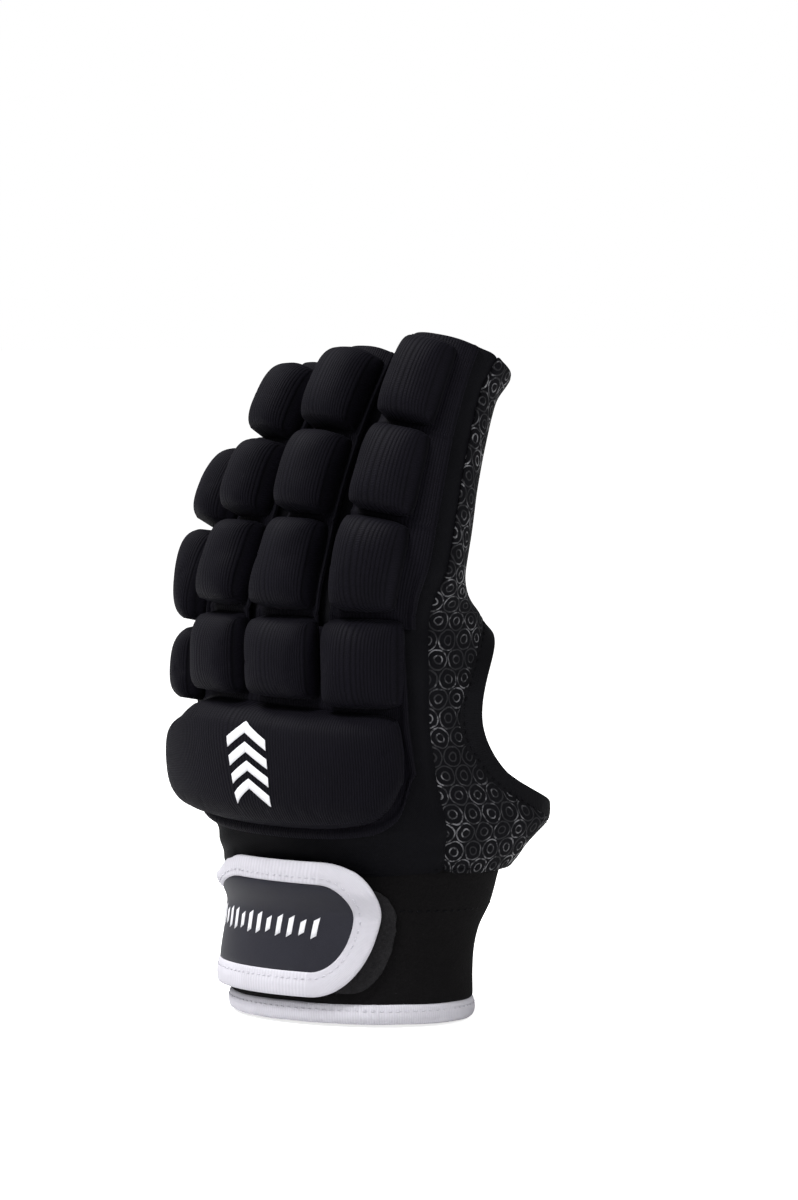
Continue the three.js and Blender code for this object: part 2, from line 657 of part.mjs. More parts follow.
const net = skinNet();
piece("back_cloth", panel(net, "back", FABRIC), lycra);
piece("palm_cloth", palmCloth(net), grip);
piece("thumb_binding", thumbBinding(), lycra);
piece("foam_panel", foamPanel(), knit);
piece("back_pad", backPad(), knit);
for (const finger of FINGERS)
  padsOf(finger).forEach((pad, n) => piece(`pad_${finger.name}_${n + 1}`, fingerPad(finger, pad), knit));
piece("cuff", cuff(), neoprene);
piece("hem_binding", hemBinding(), whiteBinding);
piece("loop_patch", loopPatch(), loops);
piece("strap", strap(), rubber);
piece("strap_binding", strapBinding(), whiteBinding);

export default glove;
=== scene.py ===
# %% [markdown]
# # A field hockey glove, dressed for the camera
# The imported solids are the frame: each is hidden where a piece of the glove stands for it, and every
# size and place comes from the tables below, the ones that the solids use. Each cell below makes one
# piece of the glove or one finish, says what it is on the real glove, and why it is made this way.

# %% Load the frame
import bpy
import bmesh
from collections import namedtuple
from functools import lru_cache, partialmethod
from math import acos, atan2, copysign, cos, degrees, exp, pi, radians, sin, sqrt
from mathutils import Matrix, Vector
from mathutils.noise import noise
from types import SimpleNamespace


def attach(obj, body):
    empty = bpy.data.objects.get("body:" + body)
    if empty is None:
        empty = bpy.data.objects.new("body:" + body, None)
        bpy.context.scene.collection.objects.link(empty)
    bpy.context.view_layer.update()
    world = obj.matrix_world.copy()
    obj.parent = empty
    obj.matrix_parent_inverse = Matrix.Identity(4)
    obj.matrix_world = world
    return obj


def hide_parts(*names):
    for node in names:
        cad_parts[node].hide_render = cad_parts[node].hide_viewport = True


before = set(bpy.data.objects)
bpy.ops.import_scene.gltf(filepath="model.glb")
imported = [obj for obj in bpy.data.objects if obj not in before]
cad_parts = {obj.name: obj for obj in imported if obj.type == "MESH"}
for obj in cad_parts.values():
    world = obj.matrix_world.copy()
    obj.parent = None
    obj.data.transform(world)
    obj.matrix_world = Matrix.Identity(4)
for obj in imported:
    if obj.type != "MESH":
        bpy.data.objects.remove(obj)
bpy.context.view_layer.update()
MM = 0.001


def link(made):
    bpy.context.scene.collection.objects.link(made)


# %% [markdown]
# ## Camera
# The glove stands upright and is seen from its thumb side and its back at once, from just above the
# middle. A long lens keeps the columns of pads from tapering.

# %% Camera
VIEW_TURN = radians(45)
VIEW_RISE = radians(3)
VIEW_DISTANCE = 1.5
AIM = Vector((cos(VIEW_TURN), sin(VIEW_TURN), 0)) * 0.01315 + Vector((0, 0, 0.1129))

bpy.context.scene.view_settings.view_transform = "Standard"
lens = bpy.data.cameras.new("camera")
lens.lens = 164.25
lens.clip_end = 50
camera = bpy.data.objects.new("camera", lens)
towards = Vector((sin(VIEW_TURN) * cos(VIEW_RISE), -cos(VIEW_TURN) * cos(VIEW_RISE), sin(VIEW_RISE)))
camera.location = AIM + towards * VIEW_DISTANCE
camera.rotation_euler = towards.to_track_quat("Z", "Y").to_euler()
link(camera)
bpy.context.scene.camera = camera
print("camera at", [round(v, 3) for v in camera.location])

# %% [markdown]
# ## Finishes
# Every finish is worked out from numbers, with no pictures. Node graphs read badly when they are
# wired by hand, so a small class wraps a socket: sums on it add Math nodes behind the scenes.


# %% A socket that does sums
class Value:
    def __init__(self, finish, socket):
        self.finish = finish
        self.socket = socket

    def math(self, operation, *others):
        return self.finish.node("ShaderNodeMath", {"operation": operation}, [self, *others])

    __add__ = __radd__ = partialmethod(math, "ADD")
    __mul__ = __rmul__ = partialmethod(math, "MULTIPLY")
    __sub__ = partialmethod(math, "SUBTRACT")
    sin = partialmethod(math, "SINE")
    abs = partialmethod(math, "ABSOLUTE")
    power = partialmethod(math, "POWER")
    least = partialmethod(math, "MINIMUM")
    modulo = partialmethod(math, "MODULO")

    def __rsub__(self, other):
        return self.finish.node("ShaderNodeMath", {"operation": "SUBTRACT"}, [other, self])

    def step(self, low, high):
        """0 below low, 1 above high, smooth between."""
        inputs = {"Value": self, "From Min": low, "From Max": high}
        return self.finish.node("ShaderNodeMapRange", {"interpolation_type": "SMOOTHSTEP"}, inputs)


# %% A finish and its nodes
class Finish:
    def __init__(self, name, roughness=0.8, **fixed):
        self.material = bpy.data.materials.new(name)
        self.material.use_nodes = True
        self.tree = self.material.node_tree
        self.shader = self.tree.nodes["Principled BSDF"]
        self.shader.inputs["Roughness"].default_value = roughness
        for socket, value in fixed.items():
            self.shader.inputs[socket.replace("_", " ")].default_value = value

    def node(self, kind, settings, inputs, output=0):
        made = self.tree.nodes.new(kind)
        for setting, value in settings.items():
            setattr(made, setting, value)
        pairs = inputs.items() if isinstance(inputs, dict) else enumerate(inputs)
        for place, value in pairs:
            self.feed(made.inputs[place], value)
        return Value(self, made.outputs[output])

    def feed(self, socket, value):
        if isinstance(value, Value):
            self.tree.links.new(value.socket, socket)
        else:
            socket.default_value = value

    def give(self, **values):
        for socket, value in values.items():
            self.feed(self.shader.inputs[socket.replace("_", " ")], value)

    def along_cloth(self):
        """The two coordinates of the piece's own map, in millimetres across and along the cloth."""
        uv = self.node("ShaderNodeUVMap", {"uv_map": "UVMap"}, {})
        parts = self.node("ShaderNodeSeparateXYZ", {}, [uv])
        return parts, Value(self, parts.socket.node.outputs[1])

    def in_space(self, scale):
        """The place on the piece, in units of 1 / scale metres."""
        place = self.node("ShaderNodeTexCoord", {}, {}, "Object")
        return self.node("ShaderNodeVectorMath", {"operation": "SCALE"}, {0: place, "Scale": scale})

    def speckle(self, size_mm, detail=2.0):
        """Soft random variation from 0 to 1, with grains of a size."""
        place = self.in_space(1 / (size_mm * MM))
        return self.node("ShaderNodeTexNoise", {}, {"Vector": place, "Scale": 1.0, "Detail": detail})

    def mix(self, amount, low, high):
        """One colour turning to another, each given as numbers or worked out by nodes."""
        low, high = (end if isinstance(end, Value) else (*end, 1) for end in (low, high))
        return self.node("ShaderNodeMix", {"data_type": "RGBA"}, {0: amount, 6: low, 7: high}, 2)

    def relief(self, height, depth_mm, after=None):
        """A bump of a real depth, on top of another where one is given."""
        inputs = {"Height": height, "Distance": depth_mm * MM, "Strength": 1.0}
        if after:
            inputs["Normal"] = after
        return self.node("ShaderNodeBump", {}, inputs)


# %% [markdown]
# ## Ribbed knit over the foam
# The pads and the sheet they stand on are faced with a fine warp knit: wales 0.7 mm apart
# that run up each finger, every wale a chain of small slanting stitches. The pattern follows each
# piece's own map, which is laid out in millimetres, so the ribs bend with the pads as the cloth does.

# %% Ribbed knit
WALE_MM = 0.72
COURSE_MM = 0.62

knit = Finish("ribbed knit", Sheen_Weight=0.01, Sheen_Roughness=0.5, Sheen_Tint=(0.8, 0.8, 0.95, 1))
knit.give(Specular_IOR_Level=0.04)
across, along = knit.along_cloth()
rib = (across * (pi / WALE_MM)).sin().abs()
side = (across * (2 * pi / WALE_MM)).sin()
stitch = (along * (2 * pi / COURSE_MM) + side * 1.6).sin() * 0.5 + 0.5
height = rib.power(0.7) * (stitch * 0.25 + 0.75)
patch = knit.speckle(9)
fibre = knit.speckle(0.5, 3.0)
# The colour follows the wales' height: painted shade in the gaps between the wales and painted light
# on their tops, mixed with random patches and fibres.
tone = height * 0.5 + patch * 0.25 + fibre * 0.25
knit.give(
    Base_Color=knit.mix(tone, (0.0003, 0.0003, 0.0005), (0.0054, 0.0048, 0.0082)),
    Roughness=0.8 - height * 0.2,
    Normal=knit.relief(height + fibre * 0.3, 0.16),
)
KNIT = knit.material

# %% [markdown]
# ## Stretch cloth
# The back of the glove under the foam is lycra: nearly smooth, a little shiny where it is pulled
# tight over the knuckles. A very fine diagonal weave and broad soft patches are all it shows.

# %% Stretch cloth
TWILL_PER_MM = 2 * pi / 0.62

lycra = Finish("stretch cloth", Sheen_Weight=0.008, Sheen_Roughness=0.35, Sheen_Tint=(0.8, 0.8, 1, 1))
lycra.give(Specular_IOR_Level=0.05)
across, along = lycra.along_cloth()
twill = ((across + along) * TWILL_PER_MM).sin() * 0.5 + 0.5
cross = ((across - along) * TWILL_PER_MM).sin() * 0.5 + 0.5
weave = twill * 0.6 + cross * 0.4
patch = lycra.speckle(14)
# The colour follows the weave's height: painted shade in its hollows, mixed with broad random patches.
lycra.give(
    Base_Color=lycra.mix(patch * 0.6 + weave * 0.4, (0.001, 0.001, 0.0015), (0.004, 0.004, 0.0056)),
    Roughness=0.72 - patch * 0.14 + weave * 0.06,
    Normal=lycra.relief(weave, 0.07),
)
LYCRA = lycra.material

# %% [markdown]
# ## Palm cloth with its grip print
# The palm is a matt microfibre with a pattern of raised clear silicone on it, which catches the light
# on its edges; the print is coloured light grey, a painted highlight that stands for those glints. The
# print here is a plain honeycomb of rings, each with a smaller one inside it. Two grids, one set
# between the other, make it by arithmetic from the distance to the nearer middle.

# %% Palm cloth
CELL_MM = 6.0
RINGS_MM = (2.7, 1.15)
RING_WIDTH_MM = 0.22
WANDER_MM = 1.3

palm = Finish("palm cloth", Sheen_Weight=0.006, Sheen_Roughness=0.5, Specular_IOR_Level=0.06)
palm.give(Coat_Roughness=0.3)
across, along = palm.along_cloth()
across = across + (palm.speckle(4.5) - 0.5) * WANDER_MM
along = along + (palm.speckle(3.7) - 0.5) * WANDER_MM

def off_rings(shift):
    """How far a place is from the nearest ring of one grid."""
    tall = CELL_MM * sqrt(3)
    x = (across + CELL_MM * (100 + shift / 2)).modulo(CELL_MM) - CELL_MM / 2
    y = (along + tall * (100 + shift / 2)).modulo(tall) - tall / 2
    away = (x * x + y * y).power(0.5)
    return (away - RINGS_MM[0]).abs().least((away - RINGS_MM[1]).abs())


print_mask = 1 - off_rings(0).least(off_rings(1)).step(RING_WIDTH_MM * 0.7, RING_WIDTH_MM * 1.15)
# The print shows only in patches, fading to a tenth between them, in relief, coat and colour alike.
print_patches = palm.speckle(6, 4.0).step(0.44, 0.64) * palm.speckle(1.5).step(0.38, 0.56)
silicone = print_mask * (print_patches * 0.9 + 0.1)
nap = palm.speckle(0.55, 4.0)
patch = palm.speckle(16)
cloth = palm.mix(nap * 0.6 + patch * 0.4, (0.0006, 0.0006, 0.0009), (0.006, 0.006, 0.0078))
palm.give(
    # The print's light grey colour is painted highlight: the clear silicone is lightened to stand for
    # the glints it catches.
    Base_Color=palm.mix(silicone, cloth, (0.115, 0.115, 0.125)),
    Roughness=0.9 - silicone * 0.6,
    Coat_Weight=silicone * 0.7,
    Normal=palm.relief(silicone, 0.35, palm.relief(nap, 0.12)),
)
PALM = palm.material

# %% [markdown]
# ## Neoprene cuff, binding tape and rubber
# Neoprene is foam faced with a fine jersey: matt, and warmer in colour than the knit. The tape that
# binds the hem and the strap is a smooth off-white ribbon with fine ribs across it. The strap's face
# is satin moulded rubber, and the patch that it holds on to is a mat of tiny loops.

# %% Neoprene
jersey = Finish("neoprene", Sheen_Weight=0.01, Sheen_Roughness=0.6, Specular_IOR_Level=0.03)
grain = jersey.speckle(0.7, 4.0)
lint = jersey.speckle(0.32, 2.0)
patch = jersey.speckle(12)
tone = grain * 0.45 + lint * 0.3 + patch * 0.25
jersey.give(
    Base_Color=jersey.mix(tone, (0.001, 0.0009, 0.001), (0.0085, 0.008, 0.0085)),
    Roughness=0.97 - lint * 0.1,
    Normal=jersey.relief(grain + lint * 0.6, 0.22),
)
NEOPRENE = jersey.material


# %% Binding tape, white and black
def binding_tape(name, dark, light, rib_depth_mm):
    tape = Finish(name, Sheen_Weight=0.008, Specular_IOR_Level=0.06)
    across, along = tape.along_cloth()
    rib = (across * (2 * pi / 0.7)).sin() * 0.5 + 0.5
    slub = tape.speckle(3.5, 3.0)
    soil = tape.speckle(18, 2.0)
    # The colour follows the ribs' height: painted shade between the ribs; the slubs and the soil are
    # random tone.
    tone = rib * 0.3 + slub * 0.35 + soil * 0.35
    tape.give(
        Base_Color=tape.mix(tone, dark, light),
        Roughness=0.62 + rib * 0.12,
        Normal=tape.relief(rib * 0.6 + slub * 0.4, rib_depth_mm),
    )
    return tape.material


WHITE_TAPE = binding_tape("white tape", (0.42, 0.41, 0.45), (0.59, 0.58, 0.63), 0.1)
BLACK_TAPE = binding_tape("black tape", (0.001, 0.001, 0.0015), (0.0045, 0.0045, 0.006), 0.08)

# %% Moulded rubber
rubber = Finish("moulded rubber", Specular_IOR_Level=0.15)
grain = rubber.speckle(0.45, 3.0)
patch = rubber.speckle(10)
rubber.give(
    Base_Color=rubber.mix(patch * 0.7 + grain * 0.3, (0.012, 0.012, 0.017), (0.019, 0.019, 0.027)),
    Roughness=0.5 + patch * 0.1 - grain * 0.06,
    Normal=rubber.relief(grain, 0.06),
)
RUBBER = rubber.material

# %% Loops, thread and print
loops = Finish("loop mat", Sheen_Weight=0.015, Sheen_Roughness=0.5, Specular_IOR_Level=0.03)
tuft = loops.speckle(0.9, 4.0)
hair = loops.speckle(0.3, 2.0)
loops.give(
    Base_Color=loops.mix(tuft * 0.5 + hair * 0.5, (0.0015, 0.0015, 0.0018), (0.03, 0.029, 0.031)),
    Roughness=0.98 - hair * 0.06,
    Normal=loops.relief(tuft * 0.6 + hair * 0.6, 0.5),
)
LOOPS = loops.material


def thread(name, dark, light, shine):
    twist = Finish(name, Specular_IOR_Level=shine)
    strand = twist.speckle(0.25, 2.0)
    twist.give(
        Base_Color=twist.mix(strand, dark, light),
        Roughness=0.5 + strand * 0.2,
        Normal=twist.relief(strand, 0.06),
    )
    return twist.material


BLACK_THREAD = thread("black thread", (0.001, 0.001, 0.0014), (0.005, 0.005, 0.0065), 0.04)
WHITE_THREAD = thread("white thread", (0.4, 0.39, 0.44), (0.58, 0.57, 0.62), 0.25)
WHITE_PRINT = thread("white print", (0.62, 0.62, 0.65), (0.74, 0.74, 0.77), 0.25)
print("finishes:", len(bpy.data.materials))

# %% [markdown]
# ## The hand's shape
# Everything on the glove follows one surface: the skin of a half-open hand. Below the knuckles it is a
# rounded oblong that is bent to the knuckles' arch, with the base of the thumb pushed out. Above them
# it is four columns, each bending towards the palm. The tables are the ones that the solids use.

# %% Tables of the hand, in millimetres
def table(columns, *rows):
    return [dict(zip(columns.split(), row)) for row in rows]


HAND = table(
    "z across depth width height square arch turn thenar",
    (37, 0.2, 5.2, 44.5, 32.6, 2.1, 900, 0, 2),
    (45, 0, 4.4, 45, 32, 2.2, 600, -1, 5),
    (54, -0.5, 1.8, 45, 30.2, 2.3, 350, -2, 13),
    (67, -2.5, -1.4, 46, 26.4, 2.5, 200, -4, 7),
    (83, -5, -5, 46.5, 22, 2.6, 130, -7, 7.5),
    (107, -7.5, -6, 46, 19, 2.6, 100, -9, 10),
)
THENAR_PLACE, THENAR_SPREAD, THENAR_AIM = 26, 30, 45
BODY_FOOT, KNUCKLE, WEB = 39.5, 107, 127
FINGER_LIFT, FINGER_SQUARE, ROOT_DEPTH, PALM_NARROWING = 5.5, 2.6, 1.35, 0.36
BACK_TURN, PALM_TURN, SEAM_TURN, CARRIER_TURN = 75, 105, 75, 56

# span is the share of the hand's width, size half the width and the depth, flex and fan degrees
Finger = namedtuple("Finger", "name span size root flex fan end")
FINGERS = [
    Finger("little", (-0.94, -0.5), (9.8, 11), 1, (12, 32), -5, 154),
    Finger("ring", (-0.5, 0), (10.5, 12), 1, (9, 34), -2.6, 176),
    Finger("middle", (0, 0.5), (11.2, 12.5), 1, (8, 34), 0.5, 180.5),
    Finger("index", (0.5, 0.94), (12.8, 13.4), 1.6, (8, 28), 8, 184),
]
LITTLE, INDEX = FINGERS[0], FINGERS[-1]
CUFF = table(
    "z across depth width height",
    (0, 0, 0, 37.5, 28.3),
    (12, 0, 0, 37.5, 28.3),
    (24, 0.8, 1.6, 37.5, 28.3),
    (31, 1.7, 3.3, 38.8, 29.3),
    (42, 2.7, 5.2, 40.2, 30.2),
)
TABLES = {"hand": HAND, "cuff": CUFF}
ZED = Vector((0, 0, 1))


# %% Small sums
def lerp(a, b, t):
    return a + (b - a) * t


def clamp(value, low=0.0, high=1.0):
    return max(low, min(high, value))


def ease(value, low, high):
    """0 below low, 1 above high, smooth between."""
    t = clamp((value - low) / (high - low))
    return t * t * (3 - 2 * t)


def signed_power(value, exponent):
    return copysign(abs(value) ** exponent, value)


def loaf(q, power):
    """0 at both edges of a piece and 1 in its middle."""
    return (1 - min(1, abs(2 * q - 1)) ** power) ** (1 / power)


def bell(value, middle, width):
    return exp(-(((value - middle) / width) ** 2))


@lru_cache(None)
def read(table, at, by="z"):
    """Every column of a table at one value, on a smooth curve through its rows."""
    rows = TABLES[table]
    t = clamp(at, rows[0][by], rows[-1][by])
    k = max(0, min(len(rows) - 2, next(n for n, row in enumerate(rows) if row[by] >= t) - 1))
    a, b = rows[k], rows[k + 1]
    before = rows[k - 1] if k else a
    after = rows[k + 2] if k + 2 < len(rows) else b
    span = b[by] - a[by]
    s = (t - a[by]) / span
    found = {}
    for column in a:
        slope_a = (b[column] - before[column]) / (b[by] - before[by]) * span
        slope_b = (after[column] - a[column]) / (after[by] - a[by]) * span
        found[column] = (
            (2 * s**3 - 3 * s**2 + 1) * a[column]
            + (s**3 - 2 * s**2 + s) * slope_a
            + (3 * s**2 - 2 * s**3) * b[column]
            + (s**3 - s**2) * slope_b
        )
    return SimpleNamespace(**found)


# %% The skin of the hand below the fingers
def bent(section, x, y):
    """A point of the flat oblong, bent to the knuckles' arch."""
    turn = x / section.arch
    reach = section.arch - y
    flat = Vector((reach * sin(turn), section.arch - reach * cos(turn)))
    flat.rotate(Matrix.Rotation(radians(section.turn), 2))
    return flat + Vector((section.across, section.depth))


def thenar_push(section, point):
    """The push of the thumb's base."""
    bearing = degrees(atan2(point.y - section.depth, point.x - section.across))
    push = section.thenar * bell(bearing, THENAR_PLACE, THENAR_SPREAD)
    aim = radians(THENAR_AIM)
    return Vector((cos(aim), sin(aim), 0)) * push


def hand(turn, z):
    """The skin by the turn round the hand from its thumb side, and the height."""
    section = read("hand", z)
    power = 2 / section.square
    x = section.width * signed_power(cos(radians(turn)), power)
    y = section.height * signed_power(sin(radians(turn)), power)
    point = bent(section, x, y).to_3d() + ZED * z
    return point + thenar_push(section, point)


def cuff_skin(turn, z):
    """The skin of the cuff, an oval that widens towards the hand."""
    section = read("cuff", z)
    angle = radians(turn)
    return Vector((
        section.across + section.width * cos(angle),
        section.depth + section.height * sin(angle),
        z,
    ))


# %% The skin of the fingers
BEND_MM, FAN_MM, ROOT_MM, BEND_STEPS = 12, 20, 10, 16


@lru_cache(None)
def flat_point(section_z, finger, turn):
    section = read("hand", section_z)
    square = section.square
    first, last = finger.span

    def depth_at(share):
        return section.height * (1 - abs(share) ** square) ** (1 / square)

    def share_at(angle):
        part = sin(radians(angle)) / sin(radians(BACK_TURN))
        return (first + last) / 2 + (last - first) / 2 * signed_power(part, 2 / FINGER_SQUARE)

    if turn <= BACK_TURN:
        share = share_at(turn)
        return share * section.width, -depth_at(share)
    if PALM_TURN <= turn <= 360 - PALM_TURN:
        share = share_at(180 - turn)
        return share * section.width, depth_at(share)
    side = 1 if turn < 180 else -1
    corner = acos(abs(last if side > 0 else first) ** (square / 2))
    angle = side * (turn - (90 if side > 0 else 270)) / (PALM_TURN - 90) * corner
    return (
        side * section.width * cos(angle) ** (2 / square),
        section.height * signed_power(sin(angle), 2 / square),
    )


@lru_cache(None)
def frame_at(finger, v):
    """A column's centre and its own axes at one length along it."""
    low = min(v, KNUCKLE)
    section = read("hand", low)
    x = sum(finger.span) / 2 * section.width
    arc = x / section.arch + radians(section.turn)
    middle = bent(section, x, -FINGER_LIFT)
    across0 = Vector((cos(arc), sin(arc), 0))
    out0 = Vector((sin(arc), -cos(arc), 0))

    def axes(at):
        share = clamp((at - KNUCKLE) / (finger.end - KNUCKLE))
        flex = radians(lerp(*finger.flex, share) * ease(at, KNUCKLE, KNUCKLE + BEND_MM))
        fan = radians(finger.fan * ease(at, KNUCKLE, KNUCKLE + FAN_MM))
        rise = ZED * cos(fan) + across0 * sin(fan)
        across = across0 * cos(fan) - ZED * sin(fan)
        up = rise * cos(flex) - out0 * sin(flex)
        out = out0 * cos(flex) + rise * sin(flex)
        return across, out, up

    centre = middle.to_3d() + ZED * low
    if v > KNUCKLE:
        step = (v - KNUCKLE) / BEND_STEPS
        for k in range(BEND_STEPS):
            centre += axes(KNUCKLE + (k + 0.5) * step)[2] * step
    return centre, *axes(v), arc, middle, section


def skin(finger, turn, v):
    """The glove's skin on one column, at a turn round it and a length up it."""
    centre, across, out, up, arc, middle, section = frame_at(finger, v)
    flat = bent(section, *flat_point(min(v, KNUCKLE), finger, turn)) - middle
    flat.rotate(Matrix.Rotation(-arc, 2))
    share = ease(v, KNUCKLE, WEB)
    c, s = cos(radians(turn)), sin(radians(turn))
    slim = ease(v, WEB - ROOT_MM, finger.end)
    deep = lerp(ROOT_DEPTH, 1, slim) if c < 0 else 1
    wide = lerp(finger.root, 1, slim) if s > 0 else 1
    narrow = 1 + PALM_NARROWING * min(0, c)
    rx, ry = finger.size
    x = lerp(flat.x, rx * wide * narrow * signed_power(s, 2 / FINGER_SQUARE), share)
    y = lerp(-flat.y, ry * deep * signed_power(c, 2 / FINGER_SQUARE), share)
    point = centre + across * x + out * y
    return point + thenar_push(section, point) * (1 - share)


print("index column's end:", [round(v) for v in skin(INDEX, 0, INDEX.end)])


# %% [markdown]
# ## How a piece is cut and kept
# Most pieces start as a flat grid, as cloth starts on the cutting table. The grid is given its map in
# millimetres first, and is then laid on the hand, so the weave goes where the cloth goes. A piece that
# closes on itself has its meeting edges welded.


# %% Lay a grid on the hand
def lay(columns, rows, shape, size_mm, weld=False):
    """A grid laid by shape(s, t), in millimetres, with its map as large as size_mm says."""
    bm = bmesh.new()
    bmesh.ops.create_grid(bm, x_segments=columns, y_segments=rows, size=0.5)
    uv = bm.loops.layers.uv.new("UVMap")
    for face in bm.faces:
        for loop in face.loops:
            s, t = loop.vert.co.x + 0.5, loop.vert.co.y + 0.5
            loop[uv].uv = (s * size_mm[0], t * size_mm[1])
    for vert in bm.verts:
        vert.co = shape(vert.co.x + 0.5, vert.co.y + 0.5) * MM
    if weld:
        bmesh.ops.remove_doubles(bm, verts=bm.verts, dist=1e-6)
    return bm


def off(surface, place, lift):
    """The point that stands off a surface at one place of it."""
    (a, b), step = place, 0.05
    along_a = surface(a + step, b) - surface(a - step, b)
    along_b = surface(a, b + step) - surface(a, b - step)
    return surface(a, b) + along_a.cross(along_b).normalized() * lift


def raised(surface, place, lift):
    """shape(s, t) for a layer that stands off a surface by lift(s, t)."""
    return lambda s, t: off(surface, place(s, t), lift(s, t))


def roll(t, power):
    """A folded strip's section: how far across it, from 0 to 1, and on which face, from -1 to 1."""
    turn = 2 * pi * t
    return (1 - cos(turn)) / 2, signed_power(sin(turn), power)


def add_to(whole, part):
    """Moves a laid part into the rest of its piece."""
    mesh = bpy.data.meshes.new("part")
    part.to_mesh(mesh)
    part.free()
    whole.from_mesh(mesh)
    bpy.data.meshes.remove(mesh)


def keep(name, bm, material, slot, *nodes, recalc=False):
    """Makes the mesh a piece of the glove, which rides on it and stands for its solids."""
    if recalc:
        bmesh.ops.recalc_face_normals(bm, faces=bm.faces)
    for face in bm.faces:
        face.smooth = True
    mesh = bpy.data.meshes.new(name)
    bm.to_mesh(mesh)
    bm.free()
    mesh.materials.append(material)
    piece = bpy.data.objects.new(name, mesh)
    link(piece)
    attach(piece, "root")
    if nodes:
        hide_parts(*nodes)
    print(name, len(mesh.polygons), "faces")
    return piece


def thicken(piece, thickness_mm, levels=1):
    """Gives a laid cloth its thickness, inwards, and rounds its cut edges."""
    wall = piece.modifiers.new("thickness", "SOLIDIFY")
    wall.thickness = thickness_mm * MM
    wall.offset = -1
    wall.use_even_offset = False
    if levels:
        smooth = piece.modifiers.new("smooth", "SUBSURF")
        smooth.levels = levels
        smooth.render_levels = levels


# %% [markdown]
# ## The cloth of the hand
# On the real glove two panels, stretch cloth on the back and grip cloth on the palm, are sewn along
# the sides into a tube that splits into four stalls. The mesh is drawn the same way: one ring of edges
# is extruded up the hand, row by row, and where the fingers part, a short bridge closes each web and
# the ring goes on as four smaller rings.

# %% Where the ring's points stand
COLUMN_STEPS = 14
BACK_TURNS = [lerp(-BACK_TURN, BACK_TURN, k / COLUMN_STEPS) for k in range(COLUMN_STEPS + 1)]
PALM_TURNS = [lerp(PALM_TURN, 360 - PALM_TURN, k / COLUMN_STEPS) for k in range(COLUMN_STEPS + 1)]
OUTER_TURNS = [79, 83.5, 88.5, 94, 99.5]
WEB_TURNS = [80, 85, 90, 95, 100]
ROW_MM = 1.8


def ring_stations():
    """Each point of the hand's ring, as the columns that meet in it."""
    stations = []

    def add(fingers, turns):
        for f, finger in enumerate(fingers):
            for k, turn in enumerate(turns):
                if f and not k:
                    stations[-1].append((finger, turn))
                else:
                    stations.append([(finger, turn)])

    add(FINGERS, BACK_TURNS)
    add([INDEX], OUTER_TURNS)
    add(FINGERS[::-1], PALM_TURNS)
    add([LITTLE], [360 - turn for turn in reversed(OUTER_TURNS)])
    return stations


STATIONS = ring_stations()
print("points round the hand:", len(STATIONS))


# %% Folds of the cloth
def gathered(point):
    """How far the cloth is drawn in at the thumb side of its foot, where it meets the cuff."""
    return -3.2 * ease(52 - point.z, 0, 13) * ease(point.x, 10, 34)


def cloth_fold(point, turn, side_gap):
    """How far the cloth stands in or out of the skin, in millimetres."""
    wave = noise(Vector((point.x * 0.045 + 3, point.y * 0.045, point.z * 0.13)))
    slant = noise(Vector(((point.x - point.z * 0.8) * 0.07, point.y * 0.05 + 7, point.z * 0.08)))
    near_cuff = 1 - ease(point.z, 46, 66)
    bagging = wave * 1.5 * near_cuff + slant * 0.9 * (0.25 + 0.75 * near_cuff)
    pucker = sin(point.z * 1.55 + 2 * noise(point * 0.2)) * 0.32 * bell(side_gap, 0, 6)
    groove = -0.75 * bell(side_gap, 0, 0.9)
    under_foam = abs(turn) < CARRIER_TURN + 8 and point.z > 52
    crease = 0.55 * sin(point.z * 0.62 - point.x * 0.16 + 3 * wave) * bell(point.z, 47, 6)
    strapped = point.y < 0 and -20 < point.x < 12
    press = -1.0 * ease(46 - point.z, 0, 5) * (1 if strapped else 0)
    loose = min(0, bagging) * 0.4 if under_foam else bagging + crease
    if strapped and point.z < 46:
        loose = min(0, loose)
    return groove + pucker + press + gathered(point) + loose


